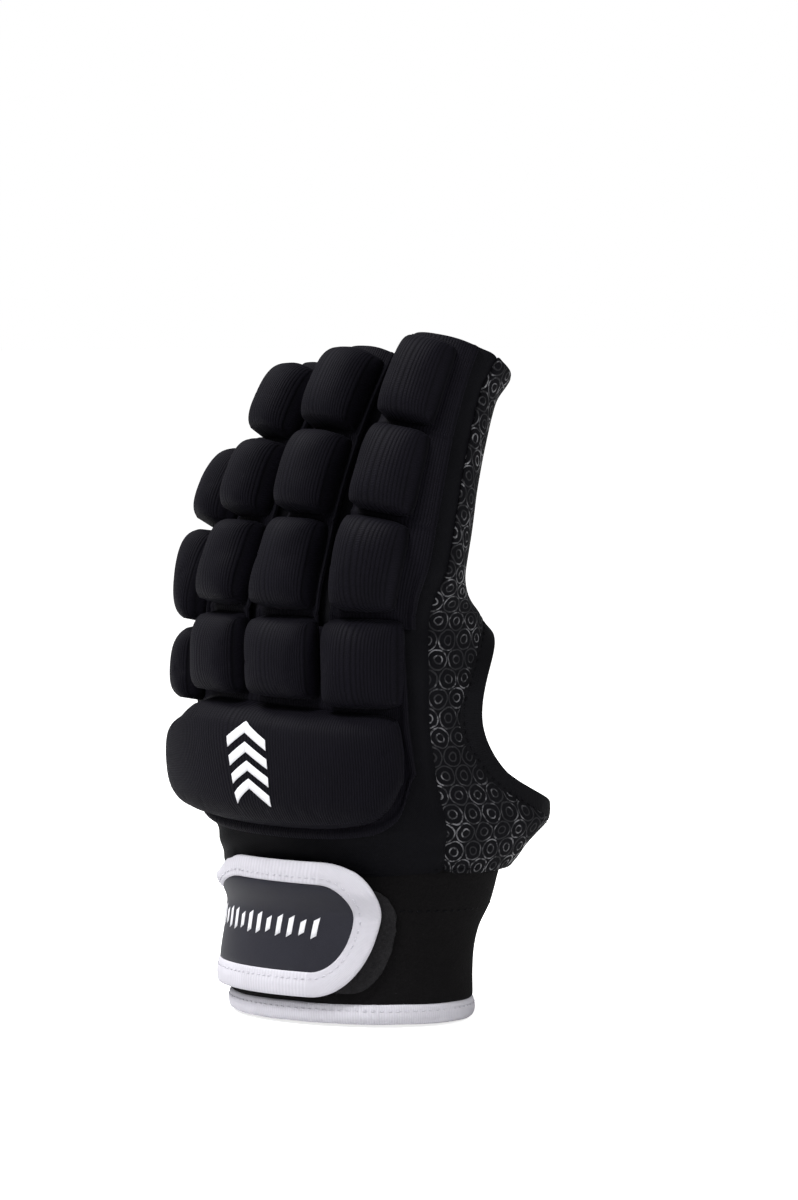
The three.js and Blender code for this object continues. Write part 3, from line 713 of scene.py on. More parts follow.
# %% Draw the tube and its stalls
def draw_cloth():
    """The tube, and for each point its columns, its length up, and its place on the panels' maps."""
    bm = bmesh.new()
    tags = {}

    def round_trip(ring):
        return zip(ring, ring[1:] + ring[:1])

    def put(vert, stops, v):
        point = sum((skin(finger, turn, v) for finger, turn in stops), Vector()) / len(stops)
        vert.co = point * MM
        tags[vert] = [stops, v, 0, 0]

    def measure(ring, starts):
        """Girths along a ring from where each map starts, counted back past a share of the ring."""
        lengths = [(b.co - a.co).length / MM for a, b in round_trip(ring)]
        total = sum(lengths)
        walked = [sum(lengths[:k]) for k in range(len(ring))]
        for vert, far in zip(ring, walked):
            for panel_map, (start, value, turn_back) in enumerate(starts, 2):
                ahead = (far - walked[start]) % total
                tags[vert][panel_map] = value + (ahead - total if ahead > turn_back * total else ahead)

    def up(ring, stops_of, v, starts):
        """The ring's next row: each old point's new twin is the far end of its upright edge."""
        made = bmesh.ops.extrude_edge_only(bm, edges=[bm.edges.get(ends) for ends in round_trip(ring)])
        fresh = {item for item in made["geom"] if isinstance(item, bmesh.types.BMVert)}
        high = []
        for vert, stops in zip(ring, stops_of):
            others = (edge.other_vert(vert) for edge in vert.link_edges)
            high.append(next(other for other in others if other in fresh))
            put(high[-1], stops, v)
        measure(high, starts)
        return high

    seam_at = len(FINGERS) * COLUMN_STEPS
    from_seam = ((seam_at, 0, 0), (seam_at, 0, 1))
    ring = list(bmesh.ops.create_circle(bm, segments=len(STATIONS), radius=1)["verts"])
    for vert, stops in zip(ring, STATIONS):
        put(vert, stops, BODY_FOOT)
    measure(ring, from_seam)
    rows = round((WEB - BODY_FOOT) / ROW_MM)
    for k in range(1, rows + 1):
        ring = up(ring, STATIONS, lerp(BODY_FOOT, WEB, k / rows), from_seam)

    palm_start = seam_at + 1 + len(OUTER_TURNS)
    webs = []
    for f, finger in enumerate(FINGERS[:-1]):
        back = ring[(f + 1) * COLUMN_STEPS]
        palm = ring[palm_start + (3 - f) * COLUMN_STEPS]
        bridge = [back]
        for k in range(1, 6):
            rise = Vector((0, 0, 1.5 * sin(pi * k / 6))) * MM
            vert = bm.verts.new(back.co.lerp(palm.co, k / 6) + rise)
            tags[vert] = [[(finger, 90)], WEB, tags[back][2], tags[palm][3]]
            bm.edges.new((bridge[-1], vert))
            bridge.append(vert)
        bm.edges.new((bridge[-1], palm))
        webs.append(bridge[1:])
    for f, finger in enumerate(FINGERS):
        back = ring[f * COLUMN_STEPS:(f + 1) * COLUMN_STEPS + 1]
        first = palm_start + (3 - f) * COLUMN_STEPS
        palm = [ring[(first + k) % len(ring)] for k in range(COLUMN_STEPS + 1)]
        thumb_side = ring[seam_at + 1:palm_start] if finger is INDEX else webs[f]
        little_side = ring[-len(OUTER_TURNS):] if finger is LITTLE else webs[f - 1][::-1]
        thumb_turns = OUTER_TURNS if finger is INDEX else WEB_TURNS
        little_turns = [360 - t for t in reversed(OUTER_TURNS if finger is LITTLE else WEB_TURNS)]
        loop = [*back, *thumb_side, *palm, *little_side]
        turns = [*BACK_TURNS, *thumb_turns, *PALM_TURNS, *little_turns]
        stops_of = [[(finger, turn)] for turn in turns]
        palm_at = COLUMN_STEPS + 1 + len(thumb_turns)
        starts = ((0, tags[back[0]][2], 0.75), (palm_at, tags[palm[0]][3], 0.75))
        count = round((finger.end - WEB) / ROW_MM)
        for k in range(1, count + 1):
            loop = up(loop, stops_of, lerp(WEB, finger.end, k / count), starts)
    bmesh.ops.recalc_face_normals(bm, faces=bm.faces)
    return bm, tags


# %% Sew the two panels
THUMB_HOLE = SimpleNamespace(turn=44.5, z=81, wide=47.5, tall=29)
HOLE_PER_MM = 1 / radians(read("hand", THUMB_HOLE.z).width)
UNDER_BINDING_MM = 2.6
SEAM_LAP = OUTER_TURNS[0] - SEAM_TURN
MM_PER_DEGREE = 0.45


def in_palm(turn, lap=0.0):
    return SEAM_TURN + lap + 0.5 < turn < 360 - SEAM_TURN - lap - 0.5


def hand_turn(point):
    """The turn round the hand of a point of its skin, found by halving."""
    low, high = -30.0, 130.0
    for _ in range(24):
        middle = (low + high) / 2
        at = hand(middle, point.z)
        ahead = hand(middle + 0.1, point.z) - at
        if (point - at).dot(ahead) > 0:
            low = middle
        else:
            high = middle
    return low


def in_hole(point):
    if abs(point.z - THUMB_HOLE.z) > THUMB_HOLE.tall + 3 or point.x < -12:
        return False
    turn = hand_turn(point) - THUMB_HOLE.turn
    across = turn / (THUMB_HOLE.wide - UNDER_BINDING_MM * HOLE_PER_MM)
    up = (point.z - THUMB_HOLE.z) / (THUMB_HOLE.tall - UNDER_BINDING_MM)
    return across * across + up * up < 1


def panel(side):
    bm, tags = draw_cloth()
    uv = bm.loops.layers.uv.new("UVMap")
    drop = []
    for face in bm.faces:
        stops = [tags[vert] for vert in face.verts]
        shared = set.intersection(*({finger for finger, _ in s[0]} for s in stops))
        shared = shared or {stops[0][0][0][0]}
        finger = next(f for f in FINGERS if f in shared)
        turns = [next((t for fg, t in s[0] if fg is finger), s[0][0][1]) for s in stops]
        wrapped = max(turns) - min(turns) > 180
        middle = sum(turn % 360 if wrapped else turn for turn in turns) / len(turns)
        web = finger is not INDEX and 75 < middle < 105 or finger is not LITTLE and 255 < middle < 285
        web = web and min(s[1] for s in stops) >= WEB - 0.01
        on_palm = not web and in_palm(middle, 0 if side == "palm" else SEAM_LAP)
        if (side == "palm") != on_palm or on_palm and in_hole(face.calc_center_median() / MM):
            drop.append(face)
            continue
        for loop in face.loops:
            _, v, on_back_map, on_palm_map = tags[loop.vert]
            loop[uv].uv = (on_palm_map if on_palm else on_back_map, v)
    bm.normal_update()
    for vert, (stops, v, _, _) in tags.items():
        finger, turn = stops[0]
        past = turn - SEAM_TURN if finger is INDEX else 360 - SEAM_TURN - turn % 360
        gap, tuck, flare = 99.0, 0, 0
        if finger is INDEX and 60 < turn < 110 or finger is LITTLE and 250 < turn % 360 < 300:
            gap = abs(past) * MM_PER_DEGREE
            tuck = -1.1 * ease(past, -2, SEAM_LAP) if side == "back" else 0
        if finger is INDEX and turn > 60:
            flare = 1.6 * ease(v, finger.end - 9, finger.end)
        near = turn if turn <= 180 else turn - 360
        vert.co += vert.normal * (cloth_fold(vert.co / MM, near, gap) + tuck + flare) * MM
    bmesh.ops.delete(bm, geom=drop, context="FACES")
    return bm


back_cloth = keep("stretch_cloth_back", panel("back"), LYCRA, "lycra", "back_cloth")
thicken(back_cloth, 1.4)
palm_panel = keep("grip_cloth_palm", panel("palm"), PALM, "grip_palm", "palm_cloth")
thicken(palm_panel, 1.4)

# %% [markdown]
# ## The binding of the thumb hole
# A wide strip of the same black stretch cloth is folded over the hole's raw edge and stitched down.
# Its section is a flattened roll, thin at the stitched side and full at the fold.

# %% Thumb binding
BINDING_MM = 6.5
BINDING_FLARE = 3.2


def hole_point(u, w, inset):
    return (
        THUMB_HOLE.turn + (THUMB_HOLE.wide - inset * HOLE_PER_MM) * u,
        THUMB_HOLE.z + (THUMB_HOLE.tall - inset) * w,
    )


def binding_shape(s, t):
    angle = 2 * pi * s
    reach, side = roll(t, 0.6)
    lift = -1.0 + 1.9 * side * (0.55 + 0.45 * reach)
    if lift > -1.0:
        lift -= 0.45 * bell(reach, 0.24, 0.06)
    lift += BINDING_FLARE * reach * reach
    ripple = 0.25 * sin(31 * angle + 3 * sin(7 * angle)) * bell(reach, 0.15, 0.25)
    inset = BINDING_MM * reach * 0.82 - 0.6
    return off(hand, hole_point(cos(angle), sin(angle), inset), lift + ripple)


bm = lay(144, 20, binding_shape, (205, 22), weld=True)
edge = keep("thumb_hole_binding", bm, BLACK_TAPE, "lycra_binding", "thumb_binding", recalc=True)

# %% [markdown]
# ## The sheet under the foam
# The pads are moulded on to one sheet of knit-faced foam that covers the back of the hand and sends a
# strip up each finger. Between the pads it shows as a channel with a fine ridge along its middle,
# and past them as a narrow flat margin.

# %% Foam sheet
# The large pad is fuller at its thumb end than its solid, and the index finger's pads end a few
# degrees sooner on their thumb side.
FOAM_GAP, CARRIER = 0.6, 1.5
PAD_BASE = FOAM_GAP + CARRIER
PAD_GAP = 1.9
PADS = {
    "little": dict(knuckle=84.6, first=106.3, rows=2, top=148, turns=(-47, 47), rise=8.2),
    "ring": dict(knuckle=88, first=111.3, rows=3, top=172.5, turns=(-45, 47), rise=8.2),
    "middle": dict(knuckle=88, first=111.3, rows=3, top=177, turns=(-45, 47), rise=8.2),
    "index": dict(knuckle=86, first=111.3, rows=3, top=181, turns=(-36.5, 29.5), rise=7.2),
}
KNUCKLE_TURNS = {"little": (-55, 54), "ring": (-44, 58), "middle": (-44, 58), "index": (-54, 40)}
BACK_PAD = table(
    "share low high",
    (0, 65, 76),
    (0.12, 57, 79.5),
    (0.25, 54.8, 82),
    (0.38, 53.5, 86),
    (0.62, 53, 85.3),
    (0.85, 54.6, 84.2),
    (0.94, 58.2, 84),
    (1, 65, 83),
)
BACK_PAD_TURNS, BACK_PAD_RISE = (-148, -36), 8.2
TABLES["back pad"] = BACK_PAD
CARRIER_MARGIN, CARRIER_CORNER_MM, CARRIER_BESIDE = 2.6, 6, 0.03
CARRIER_SIDE = dict(low=57, high=107, little=(-154, -146), thumb=(-31, -35))


def pads_of(finger):
    """Where a column's pads start and end, the one over the knuckle first."""
    pads = PADS[finger.name]
    first, rows, turns = pads["first"], pads["rows"], pads["turns"]
    pitch = (pads["top"] + PAD_GAP - first) / rows
    up = [(first + n * pitch, first + (n + 1) * pitch - PAD_GAP, turns) for n in range(rows)]
    return [(pads["knuckle"], first - PAD_GAP, KNUCKLE_TURNS[finger.name]), *up]


def edges_by(s):
    """The large pad's lower and upper edge, by the share across the sheet under it."""
    return read("back pad", clamp((s - CARRIER_BESIDE) / (1 - 2 * CARRIER_BESIDE)), "share")


def sheet_place(s, t):
    corner = CARRIER_CORNER_MM * ease(abs(2 * s - 1), 0.86, 1.02)
    z = lerp(edges_by(s).low - CARRIER_MARGIN + corner, KNUCKLE + 0.4, t)
    rise = (z - CARRIER_SIDE["low"]) / (CARRIER_SIDE["high"] - CARRIER_SIDE["low"])
    return lerp(lerp(*CARRIER_SIDE["little"], rise), lerp(*CARRIER_SIDE["thumb"], rise), s), z


def sheet_lift(s, t):
    turn, z = sheet_place(s, t)
    ridge = 0.5 * bell(z, (edges_by(s).high + 87.5) / 2, 0.45) if z > 78 else 0
    rim = min(s * 96, (1 - s) * 96, t * 56 + 0.1)
    wrinkle = 0.12 * sin(turn * 2.1 + 2 * noise(Vector((turn * 0.2, z * 0.1, 0))))
    return PAD_BASE + ridge + (0.75 + wrinkle) * bell(rim, 1.4, 0.9) - 0.4 * bell(rim, 3.2, 0.7)


def strip_up(finger):
    """The sheet's strip up one finger, with a ridge in each gap between its pads."""
    last = finger.end - 0.8
    gaps = [low - PAD_GAP / 2 for low, _, _ in pads_of(finger)[1:]]

    def shape(s, t):
        turn = lerp(-CARRIER_TURN, CARRIER_TURN, s)
        v = lerp(KNUCKLE, last, t)
        ridge = sum(0.5 * bell(v, gap, 0.4) for gap in gaps)
        ridge += 0.8 * bell(min(s, 1 - s) * 22, 0.9, 0.7)
        return skin(finger, turn, v) + frame_at(finger, v)[2] * (PAD_BASE + ridge)

    return lay(20, round((last - KNUCKLE) / 0.7), shape, (22, last - KNUCKLE))


whole = lay(110, 64, raised(hand, sheet_place, sheet_lift), (96, 56))
for finger in FINGERS:
    add_to(whole, strip_up(finger))
foam = keep("foam_sheet", whole, KNIT, "knit", "foam_panel")
thicken(foam, 1.4, 0)

# %% [markdown]
# ## The foam pads
# Each pad is a loaf of foam with the knit drawn over it: steep at its lower end, crowned and rounder
# at its upper end, with soft corners. A grid makes its face, the grid's rim is extruded down to the
# sheet to make its sides, and the last ring is filled to close it.

# %% Pads
PAD_CELLS, BACK_PAD_CELLS = (30, 30), (90, 32)
PAD_FOOT_MM = 1.6


def close_below(bm, base):
    """Drops the rim of a laid face on to its base and closes the piece."""
    rim = [edge for edge in bm.edges if edge.is_boundary]
    made = bmesh.ops.extrude_edge_only(bm, edges=rim)["geom"]
    for vert in (item for item in made if isinstance(item, bmesh.types.BMVert)):
        vert.co = base(vert.co)
    rim = [edge for edge in bm.edges if edge.is_boundary]
    filled = bmesh.ops.holes_fill(bm, edges=rim, sides=0)["faces"]
    bmesh.ops.triangulate(bm, faces=filled)
    return bm


def soft_corners(s, t, square):
    """Rounds the corners of a unit square."""
    p, q = 2 * s - 1, 2 * t - 1
    return (
        0.5 + 0.5 * p * (1 - square * abs(q) ** 5 * abs(p) ** 2),
        0.5 + 0.5 * q * (1 - square * abs(p) ** 5 * abs(q) ** 2),
    )


def finger_pad(finger, low, high, turns):
    rise = PADS[finger.name]["rise"]

    def shape(s, t):
        a, b = soft_corners(s, t, 0.09)
        v = lerp(low, high, b)
        turn = lerp(*turns, (1 + signed_power(2 * a - 1, 0.9)) / 2)
        steep = t ** 0.86
        crown = loaf(s, 2.7) * loaf(steep, 3.0)
        dimple = 0.25 * noise(Vector((s * 3 + low, t * 3, 0)))
        lift = PAD_BASE + 0.9 + rise * crown + dimple * crown
        lift += 0.9 * (2 * s - 1) ** 4
        return skin(finger, turn, v) + frame_at(finger, v)[2] * lift

    def base(point):
        return point - frame_at(finger, (low + high) / 2)[2] * PAD_FOOT_MM * MM

    width = radians(turns[1] - turns[0]) * 12.5
    return close_below(lay(*PAD_CELLS, shape, (width, high - low)), base)


pads = []
for finger in FINGERS:
    for n, (low, high, turns) in enumerate(pads_of(finger)):
        name = f"{finger.name}_{n + 1}"
        bm = finger_pad(finger, low, high, turns)
        pads.append(keep(f"foam_pad_{name}", bm, KNIT, "knit", f"pad_{name}", recalc=True))


# %% Large pad over the back of the hand
def back_pad_lift(s, t):
    return PAD_BASE + 0.8 + BACK_PAD_RISE * loaf(s, 4.5) * loaf(clamp(t) ** 0.95, 3.0)


def back_pad_place(s, t):
    edges = read("back pad", s, "share")
    a, b = soft_corners(s, t, 0.03)
    return lerp(*BACK_PAD_TURNS, a), lerp(edges.low, edges.high, b)


def back_pad_base(point):
    return point + (Vector((0, 0, point.z)) - point).normalized() * PAD_FOOT_MM * MM


bm = lay(*BACK_PAD_CELLS, raised(hand, back_pad_place, back_pad_lift), (92, 30))
close_below(bm, back_pad_base)
pads.append(keep("foam_pad_back", bm, KNIT, "knit", "back_pad", recalc=True))

# %% [markdown]
# ## Foam that fills its cover
# Foam presses its cover out until the cover is tight. A cloth simulation does the same: every pad is
# copied at a cushion's size, held along the seam at its foot, and blown up for twenty frames. The
# points then move by what the copy moved, up to a cap, so no pad touches its neighbour.

# %% Swell the pads
SWELL_SCALE, SWELL_FRAMES, SWELL_PRESSURE, SWELL_CAP_MM = 25, 20, 4.0, 0.75


def rig_for(pad, free):
    """A large copy of a pad, held from point number free on, with the cloth's settings."""
    mesh = pad.data.copy()
    mesh.transform(Matrix.Scale(SWELL_SCALE, 4))
    rig = bpy.data.objects.new("rig", mesh)
    link(rig)
    held = rig.vertex_groups.new(name="seam")
    held.add(range(free, len(mesh.vertices)), 1, "REPLACE")
    cloth = rig.modifiers.new("swell", "CLOTH")
    settings = cloth.settings
    settings.quality, settings.mass = 5, 0.3
    settings.use_pressure = True
    settings.uniform_pressure_force = SWELL_PRESSURE
    settings.vertex_group_mass = "seam"
    settings.effector_weights.gravity = 0
    cloth.point_cache.frame_start = 1
    cloth.point_cache.frame_end = SWELL_FRAMES
    return rig


def swell(pads, free):
    rigs = [rig_for(pad, free[pad.name]) for pad in pads]
    for frame_number in range(1, SWELL_FRAMES + 1):
        bpy.context.scene.frame_set(frame_number)
    graph = bpy.context.evaluated_depsgraph_get()
    furthest = 0
    for pad, rig in zip(pads, rigs):
        blown = rig.evaluated_get(graph).data
        for vert, moved in zip(pad.data.vertices, blown.vertices):
            move = moved.co / SWELL_SCALE - vert.co
            furthest = max(furthest, move.length / MM)
            if move.length > SWELL_CAP_MM * MM:
                move = move.normalized() * SWELL_CAP_MM * MM
            vert.co += move
        pad.data.update()
    bpy.context.scene.frame_set(1)
    for rig in rigs:
        mesh = rig.data
        bpy.data.objects.remove(rig)
        bpy.data.meshes.remove(mesh)
    print("swelled", len(pads), "pads; furthest before the cap", round(furthest, 2), "mm")


small, large = ((a + 1) * (b + 1) for a, b in (PAD_CELLS, BACK_PAD_CELLS))
swell(pads, {pad.name: large if pad.name == "foam_pad_back" else small for pad in pads})

# %% [markdown]
# ## Cuff and hem
# The cuff is a tube of neoprene. A white tape is folded round its lower edge: from the side it is a
# flat roll, thinner along the line where it is stitched through.

# %% Cuff
HEM_MM = 5.6
HEM_STITCH_LINE = 0.68


def cuff_shape(s, t):
    turn, z = 360 * s, lerp(HEM_MM - 0.6, 43.5, t)
    point = cuff_skin(turn, z)
    swell_mm = 0.35 * noise(Vector((point.x * 0.06, point.y * 0.06, point.z * 0.08)))
    tuck = -1.6 * ease(z, 40.5, 43)
    out = Vector((point.x / CUFF[0]["width"], point.y / CUFF[0]["height"], 0)).normalized()
    return point + out * (swell_mm + tuck)


bm = lay(120, 26, cuff_shape, (208, 38), weld=True)
sleeve = keep("cuff_neoprene", bm, NEOPRENE, "neoprene", "cuff")
thicken(sleeve, 2.5)


# %% Hem tape
def hem_shape(s, t):
    angle = 2 * pi * s
    rise, side = roll(t, 0.55)
    lift = -1.3 - 2.05 * side
    if side < 0:
        lift -= 0.28 * bell(rise, HEM_STITCH_LINE, 0.07)
    z = HEM_MM * rise + 0.22 * noise(Vector((cos(angle) * 3, sin(angle) * 3, 1)))
    out = off(cuff_skin, (360 * s, max(0.01, z)), lift)
    return Vector((out.x, out.y, z))


bm = lay(160, 22, hem_shape, (208, 14), weld=True)
hem_tape = keep("hem_tape", bm, WHITE_TAPE, "white_binding", "hem_binding", recalc=True)

# %% [markdown]
# ## Strap
# The strap comes round from the little finger's side and ends in a rounded tab, held down on a patch
# of loops. It has a moulded rubber face, with a white tape folded round its edge.

# %% Strap's outline
STRAP = SimpleNamespace(
    end=-43, root=-235, middle=25.7, half=18.4, round=27, edge=6.6, edge_turn=11.5,
    straight=0.3, tuck=0.6, under=-140, over=-110, stand=1.65, lap=3.4,
)


def strap_outline(s, inset):
    """A U from the strap's root, round its end and back, drawn in by a share of the tape."""
    bend_round = STRAP.round - inset * STRAP.edge_turn
    half = STRAP.half - inset * STRAP.edge
    bend = STRAP.end - inset * STRAP.edge_turn - bend_round
    straight = STRAP.straight
    angle = (clamp((s - straight) / (1 - 2 * straight)) * 2 - 1) * pi / 2
    back = max(0, straight - s, s - 1 + straight) / straight
    turn = lerp(bend + bend_round * cos(angle), STRAP.root, back)
    upper = lerp(STRAP.tuck, 1, ease(turn, STRAP.under, STRAP.over))
    return turn, STRAP.middle + half * sin(angle) * (upper if s > 0.5 else 1)


def strap_stand(z):
    return STRAP.stand + STRAP.lap * ease(z, 29, 37)


# %% Strap's face and tape
TAPE_STITCH_LINE = 0.72
FACE_STAND_MM = 1.5


def face_place(s, t):
    low = strap_outline(s * 0.499, 0.93)
    high = strap_outline(1 - s * 0.499, 0.93)
    return low[0], lerp(low[1], high[1], t)


def face_lift(s, t):
    return strap_stand(face_place(s, t)[1]) + FACE_STAND_MM + 0.25 * loaf(t, 3)


def tape_place(s, reach):
    """A place on the strap's tape, from its outer edge at 0 to its inner edge at 1."""
    return tuple(lerp(a, b, reach) for a, b in zip(strap_outline(s, 0), strap_outline(s, 1)))


def tape_shape(s, t):
    reach, side = roll(t, 0.5)
    place = tape_place(s, reach)
    lift = strap_stand(place[1]) + 1.1 - 1.15 * side
    if side < 0:
        lift -= 0.3 * bell(reach, TAPE_STITCH_LINE, 0.06) + 0.12 * bell(reach, 0.3, 0.05)
    return off(cuff_skin, place, lift)


bm = lay(90, 24, raised(cuff_skin, face_place, face_lift), (120, 26))
strap = keep("strap_face", bm, RUBBER, "rubber_patch", "strap")
thicken(strap, 1.4, 0)
bm = lay(150, 18, tape_shape, (240, 15), weld=True)
bmesh.ops.holes_fill(bm, edges=[edge for edge in bm.edges if edge.is_boundary], sides=0)
tape = keep("strap_tape", bm, WHITE_TAPE, "white_binding", "strap_binding", recalc=True)

# %% Loop patch
LOOP_PATCH = dict(end=-35, root=-88, middle=22.5, half=14, round=18)


def mat_place(s, t):
    turn = lerp(LOOP_PATCH["root"], LOOP_PATCH["end"], s)
    near = clamp((turn - LOOP_PATCH["end"] + LOOP_PATCH["round"]) / LOOP_PATCH["round"], 0, 0.98)
    return turn, LOOP_PATCH["middle"] + LOOP_PATCH["half"] * sqrt(1 - near**2) * (2 * t - 1)


def mat_lift(s, t):
    return 1.15 + 0.22 * noise(cuff_skin(*mat_place(s, t)) * 0.9)


bm = lay(60, 36, raised(cuff_skin, mat_place, mat_lift), (36, 28))
mat = keep("loop_mat", bm, LOOPS, "loop_fabric", "loop_patch")
thicken(mat, 0.8, 0)

# %% [markdown]
# ## Prints
# Two plain white prints: a stack of chevrons on the large pad, and a row of slanting bars along the
# strap's face. Each stroke is a narrow strip laid a little off the cloth and given a film's thickness.


# %% Strokes of print
def printed(name, strokes, point):
    """Each stroke is (start, end, width) in millimetres; point(x, y) is a place on the glove."""
    whole = bmesh.new()
    for start, end, width in strokes:

        def shape(s, t):
            return point(lerp(start[0], end[0], s), lerp(start[1], end[1], s) + (t - 0.5) * width)

        add_to(whole, lay(10, 3, shape, (abs(end[0] - start[0]) + 1, width)))
    made = keep(name, whole, WHITE_PRINT, "white_binding")
    thicken(made, 0.12, 0)
    return made


# %% Chevrons on the large pad
PRINT_ACROSS_MM, PRINT_Z = 5.5, 70
FILM_MM = 0.18


def on_back_pad(x, y):
    part = (PRINT_ACROSS_MM + x) / read("hand", PRINT_Z).width
    turn = -degrees(acos(signed_power(part, 1.3)))
    s = (turn - BACK_PAD_TURNS[0]) / (BACK_PAD_TURNS[1] - BACK_PAD_TURNS[0])
    edges = read("back pad", s, "share")
    z = PRINT_Z + y
    t = (z - edges.low) / (edges.high - edges.low)
    return off(hand, (turn, z), back_pad_lift(s, t) + FILM_MM)


CHEVRONS, CHEVRON_PITCH, CHEVRON_HALF, CHEVRON_DROP, CHEVRON_WIDTH = 4, 5.0, 6.2, 4.2, 2.7
chevrons = []
for n in range(CHEVRONS):
    top = (n - 1.1) * CHEVRON_PITCH
    for side in (-1, 1):
        ends = sorted([(0.0, top), (side * CHEVRON_HALF, top - CHEVRON_DROP)])
        chevrons.append((*ends, CHEVRON_WIDTH))
chevron_print = printed("print_back_pad", chevrons, on_back_pad)
for vert in chevron_print.data.vertices:
    _, spot, out, _ = pads[-1].closest_point_on_mesh(vert.co)
    vert.co = spot + out * FILM_MM * MM


# %% Bars on the strap
BARS, BAR_PITCH, BAR_WIDTH, BAR_HALF, BARS_FROM_TURN = 14, 5.9, 2.4, 2.6, -148


def on_strap(x, y):
    z = STRAP.middle + y
    return off(cuff_skin, (BARS_FROM_TURN + x, z), strap_stand(z) + FACE_STAND_MM + 0.36)


bars = []
for n in range(BARS):
    left = n * BAR_PITCH
    half = BAR_HALF * (1 if n % 3 else 0.72)
    bars.append(((left, -0.5), (left + BAR_WIDTH, 0.5), 2 * half))
printed("print_strap", bars, on_strap)

# %% [markdown]
# ## Stitches
# Each stitch is a short stick with rounded ends that dips into the cloth. One small shape is made and
# copied along a path, so a seam of a hundred stitches stays light.

# %% Sew along a path
def sew(name, points, normals, material, slot, pitch=2.3, length=1.5, width=0.5):
    bm = bmesh.new()
    walked, count = 0.0, 0
    for k in range(1, len(points)):
        ahead = points[k] - points[k - 1]
        walked += ahead.length
        if walked < pitch:
            continue
        walked -= pitch
        forward = ahead.normalized()
        up = (normals[k] - forward * normals[k].dot(forward)).normalized()
        side = up.cross(forward)
        turn = Matrix((forward, side, up)).transposed().to_4x4()
        size = Matrix.Diagonal((length, width, width * 0.7, 1)).to_4x4()
        place = Matrix.Translation(points[k] * MM) @ turn @ size @ Matrix.Scale(MM, 4)
        bmesh.ops.create_icosphere(bm, subdivisions=1, radius=0.5, matrix=place)
        count += 1
    print("stitches:", count)
    return keep(name, bm, material, slot)


def path(shape, steps):
    """Points along shape(s), and how they face, for a seam."""
    return zip(*(shape(k / steps) for k in range(steps + 1)))


def on(surface, place, lift):
    """A seam's place on a surface, and the way out of it."""
    def shape(s):
        low, high = off(surface, place(s), 0.0), off(surface, place(s), 1.0)
        return low.lerp(high, lift(s)), high - low

    return shape


# %% Seams of the tape and the bindings
def tape_line(s):
    return tape_place(s, TAPE_STITCH_LINE)


hem_line = path(on(cuff_skin, lambda s: (360 * s, HEM_MM * HEM_STITCH_LINE), lambda s: 0.55), 900)
sew("stitches_hem", *hem_line, WHITE_THREAD, "white_binding")
strap_line = path(on(cuff_skin, tape_line, lambda s: strap_stand(tape_line(s)[1]) + 2.05), 900)
sew("stitches_strap", *strap_line, WHITE_THREAD, "white_binding")


def hole_seam(s):
    return hole_point(cos(2 * pi * s), sin(2 * pi * s), 0.9)


def cuff_seam(s):
    return -132 + 258 * s, 31 + 0.4 * sin(9 * s)


def foot_seam(s):
    return -28 + 150 * s, BODY_FOOT + 1.9


hole_line = path(on(hand, hole_seam, lambda s: 0.35), 900)
sew("stitches_thumb", *hole_line, BLACK_THREAD, "lycra_binding")
cuff_line = path(on(cuff_skin, cuff_seam, lambda s: 0.1), 900)
sew("stitches_cuff", *cuff_line, BLACK_THREAD, "neoprene", pitch=2.4, length=1.6)
foot_line = path(on(hand, foot_seam, lambda s: 0.05 + gathered(hand(*foot_seam(s)))), 700)
sew("stitches_foot", *foot_line, BLACK_THREAD, "lycra", pitch=2.4, length=1.6)


# %% Seams of the foam sheet
def column_line(finger, turn, low, high):
    def shape(s):
        v = lerp(low, high, s)
        out = frame_at(finger, v)[2]
        return skin(finger, turn, v) + out * (PAD_BASE + 0.05), out

    return path(shape, 400)


for finger in FINGERS:
    for side, turn in (("thumb", 51.5), ("little", -51.5)):
        line = column_line(finger, turn, KNUCKLE + 3, finger.end - 2)
        sew(f"stitches_{finger.name}_{side}", *line, BLACK_THREAD, "knit", pitch=2.0, length=1.1)

# %% [markdown]
# ## Floor and light
# A pale floor that runs far back, an even sky and three large soft lamps, as in a studio. The sky and
# the floor look white to the camera but light the glove much less, so the black cloth keeps its depth.

# %% Floor and sky
SKY_SEEN, SKY_LIGHT = 1.0, 0.32
FLOOR_GLOW = 0.78

bm = bmesh.new()
bmesh.ops.create_grid(bm, x_segments=1, y_segments=1, size=20)
floor_mesh = bpy.data.meshes.new("floor")
bm.to_mesh(floor_mesh)
bm.free()
floor = bpy.data.objects.new("floor", floor_mesh)
floor.location.z = -0.0008
pale = Finish("pale floor", 0.9, Emission_Strength=FLOOR_GLOW)
pale.give(Base_Color=(0.85, 0.85, 0.85, 1), Emission_Color=pale.node("ShaderNodeLightPath", {}, {}))
floor_mesh.materials.append(pale.material)
link(floor)

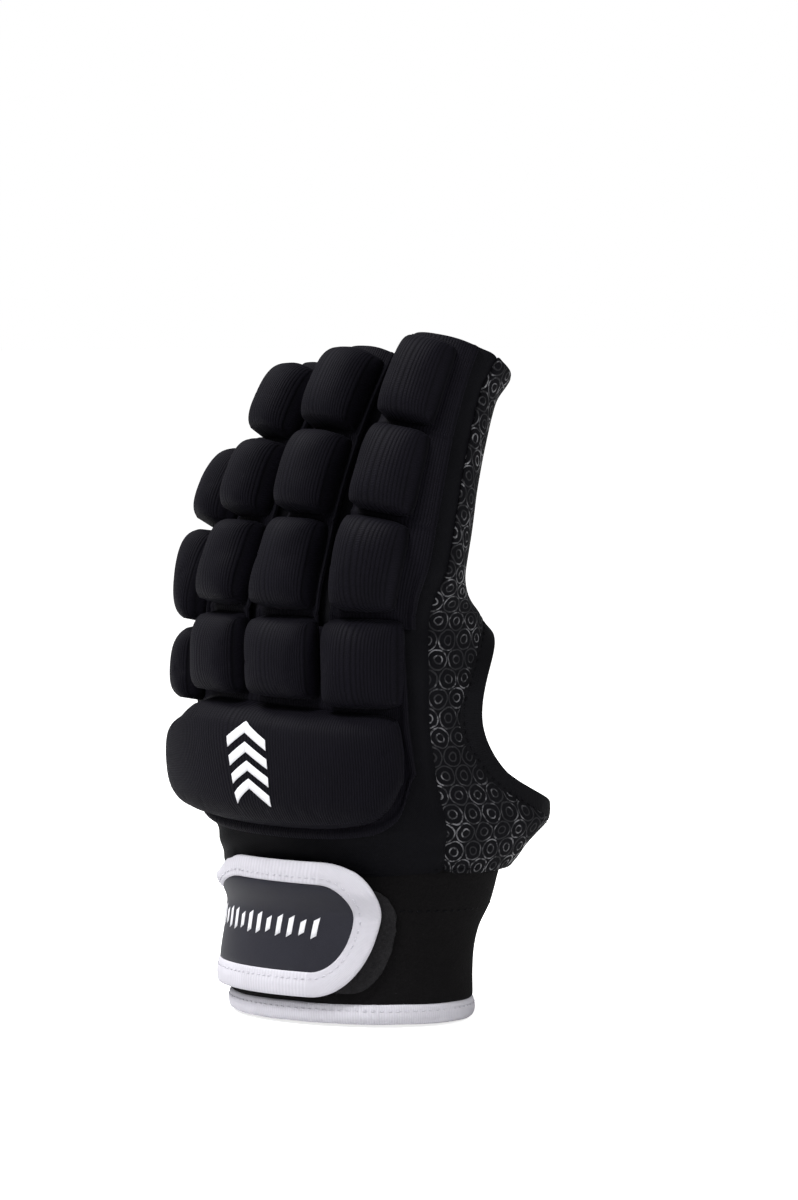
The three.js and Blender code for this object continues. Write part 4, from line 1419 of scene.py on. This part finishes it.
sky = bpy.data.worlds.new("sky")
sky.use_nodes = True
nodes, links = sky.node_tree.nodes, sky.node_tree.links
lit, seen = nodes["Background"], nodes.new("ShaderNodeBackground")
lit.inputs["Color"].default_value = seen.inputs["Color"].default_value = (1, 1, 1, 1)
lit.inputs["Strength"].default_value = SKY_LIGHT
seen.inputs["Strength"].default_value = SKY_SEEN
either = nodes.new("ShaderNodeMixShader")
links.new(nodes.new("ShaderNodeLightPath").outputs["Is Camera Ray"], either.inputs[0])
links.new(lit.outputs[0], either.inputs[1])
links.new(seen.outputs[0], either.inputs[2])
links.new(either.outputs[0], nodes["World Output"].inputs["Surface"])
bpy.context.scene.world = sky
print("sky:", SKY_SEEN, "seen,", SKY_LIGHT, "as light")


# %% Lamps
def lamp(name, place, size, power):
    light = bpy.data.lights.new(name, "AREA")
    light.size = size
    light.energy = power
    made = bpy.data.objects.new(name, light)
    made.location = place
    made.rotation_euler = (Vector(place) - Vector((0, 0, 0.1))).to_track_quat("Z", "Y").to_euler()
    link(made)
    print(name, "lamp of", power, "W")


lamp("key", (-0.1, -0.9, 1.3), 0.4, 22)
lamp("side", (1.4, -0.1, 0.8), 0.5, 9)
lamp("top", (-0.9, -0.3, 1.2), 0.4, 16)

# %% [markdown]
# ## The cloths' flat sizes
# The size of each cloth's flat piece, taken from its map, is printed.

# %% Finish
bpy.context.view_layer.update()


def cut_flat(piece, rests_on, *with_pieces, flat_mm=None):
    """Prints the flat piece a cloth was cut as: its map's width and length. Its area is worked out but
    not used.
    """
    uses = [loop.uv for loop in piece.data.uv_layers["UVMap"].data]
    measured = [max(uv[k] for uv in uses) - min(uv[k] for uv in uses) for k in (0, 1)]
    width, length = (size * MM for size in flat_mm or measured)
    area = min(width * length, sum(face.area for face in piece.data.polygons))
    print(piece.name, "cut from", round(width / MM), "x", round(length / MM), "mm")


cut_flat(back_cloth, [sleeve])
cut_flat(palm_panel, [sleeve], edge)
cut_flat(foam, [back_cloth], flat_mm=(118, 138))
cut_flat(sleeve, [hem_tape])
cut_flat(strap, [sleeve], tape)
cut_flat(mat, [sleeve])
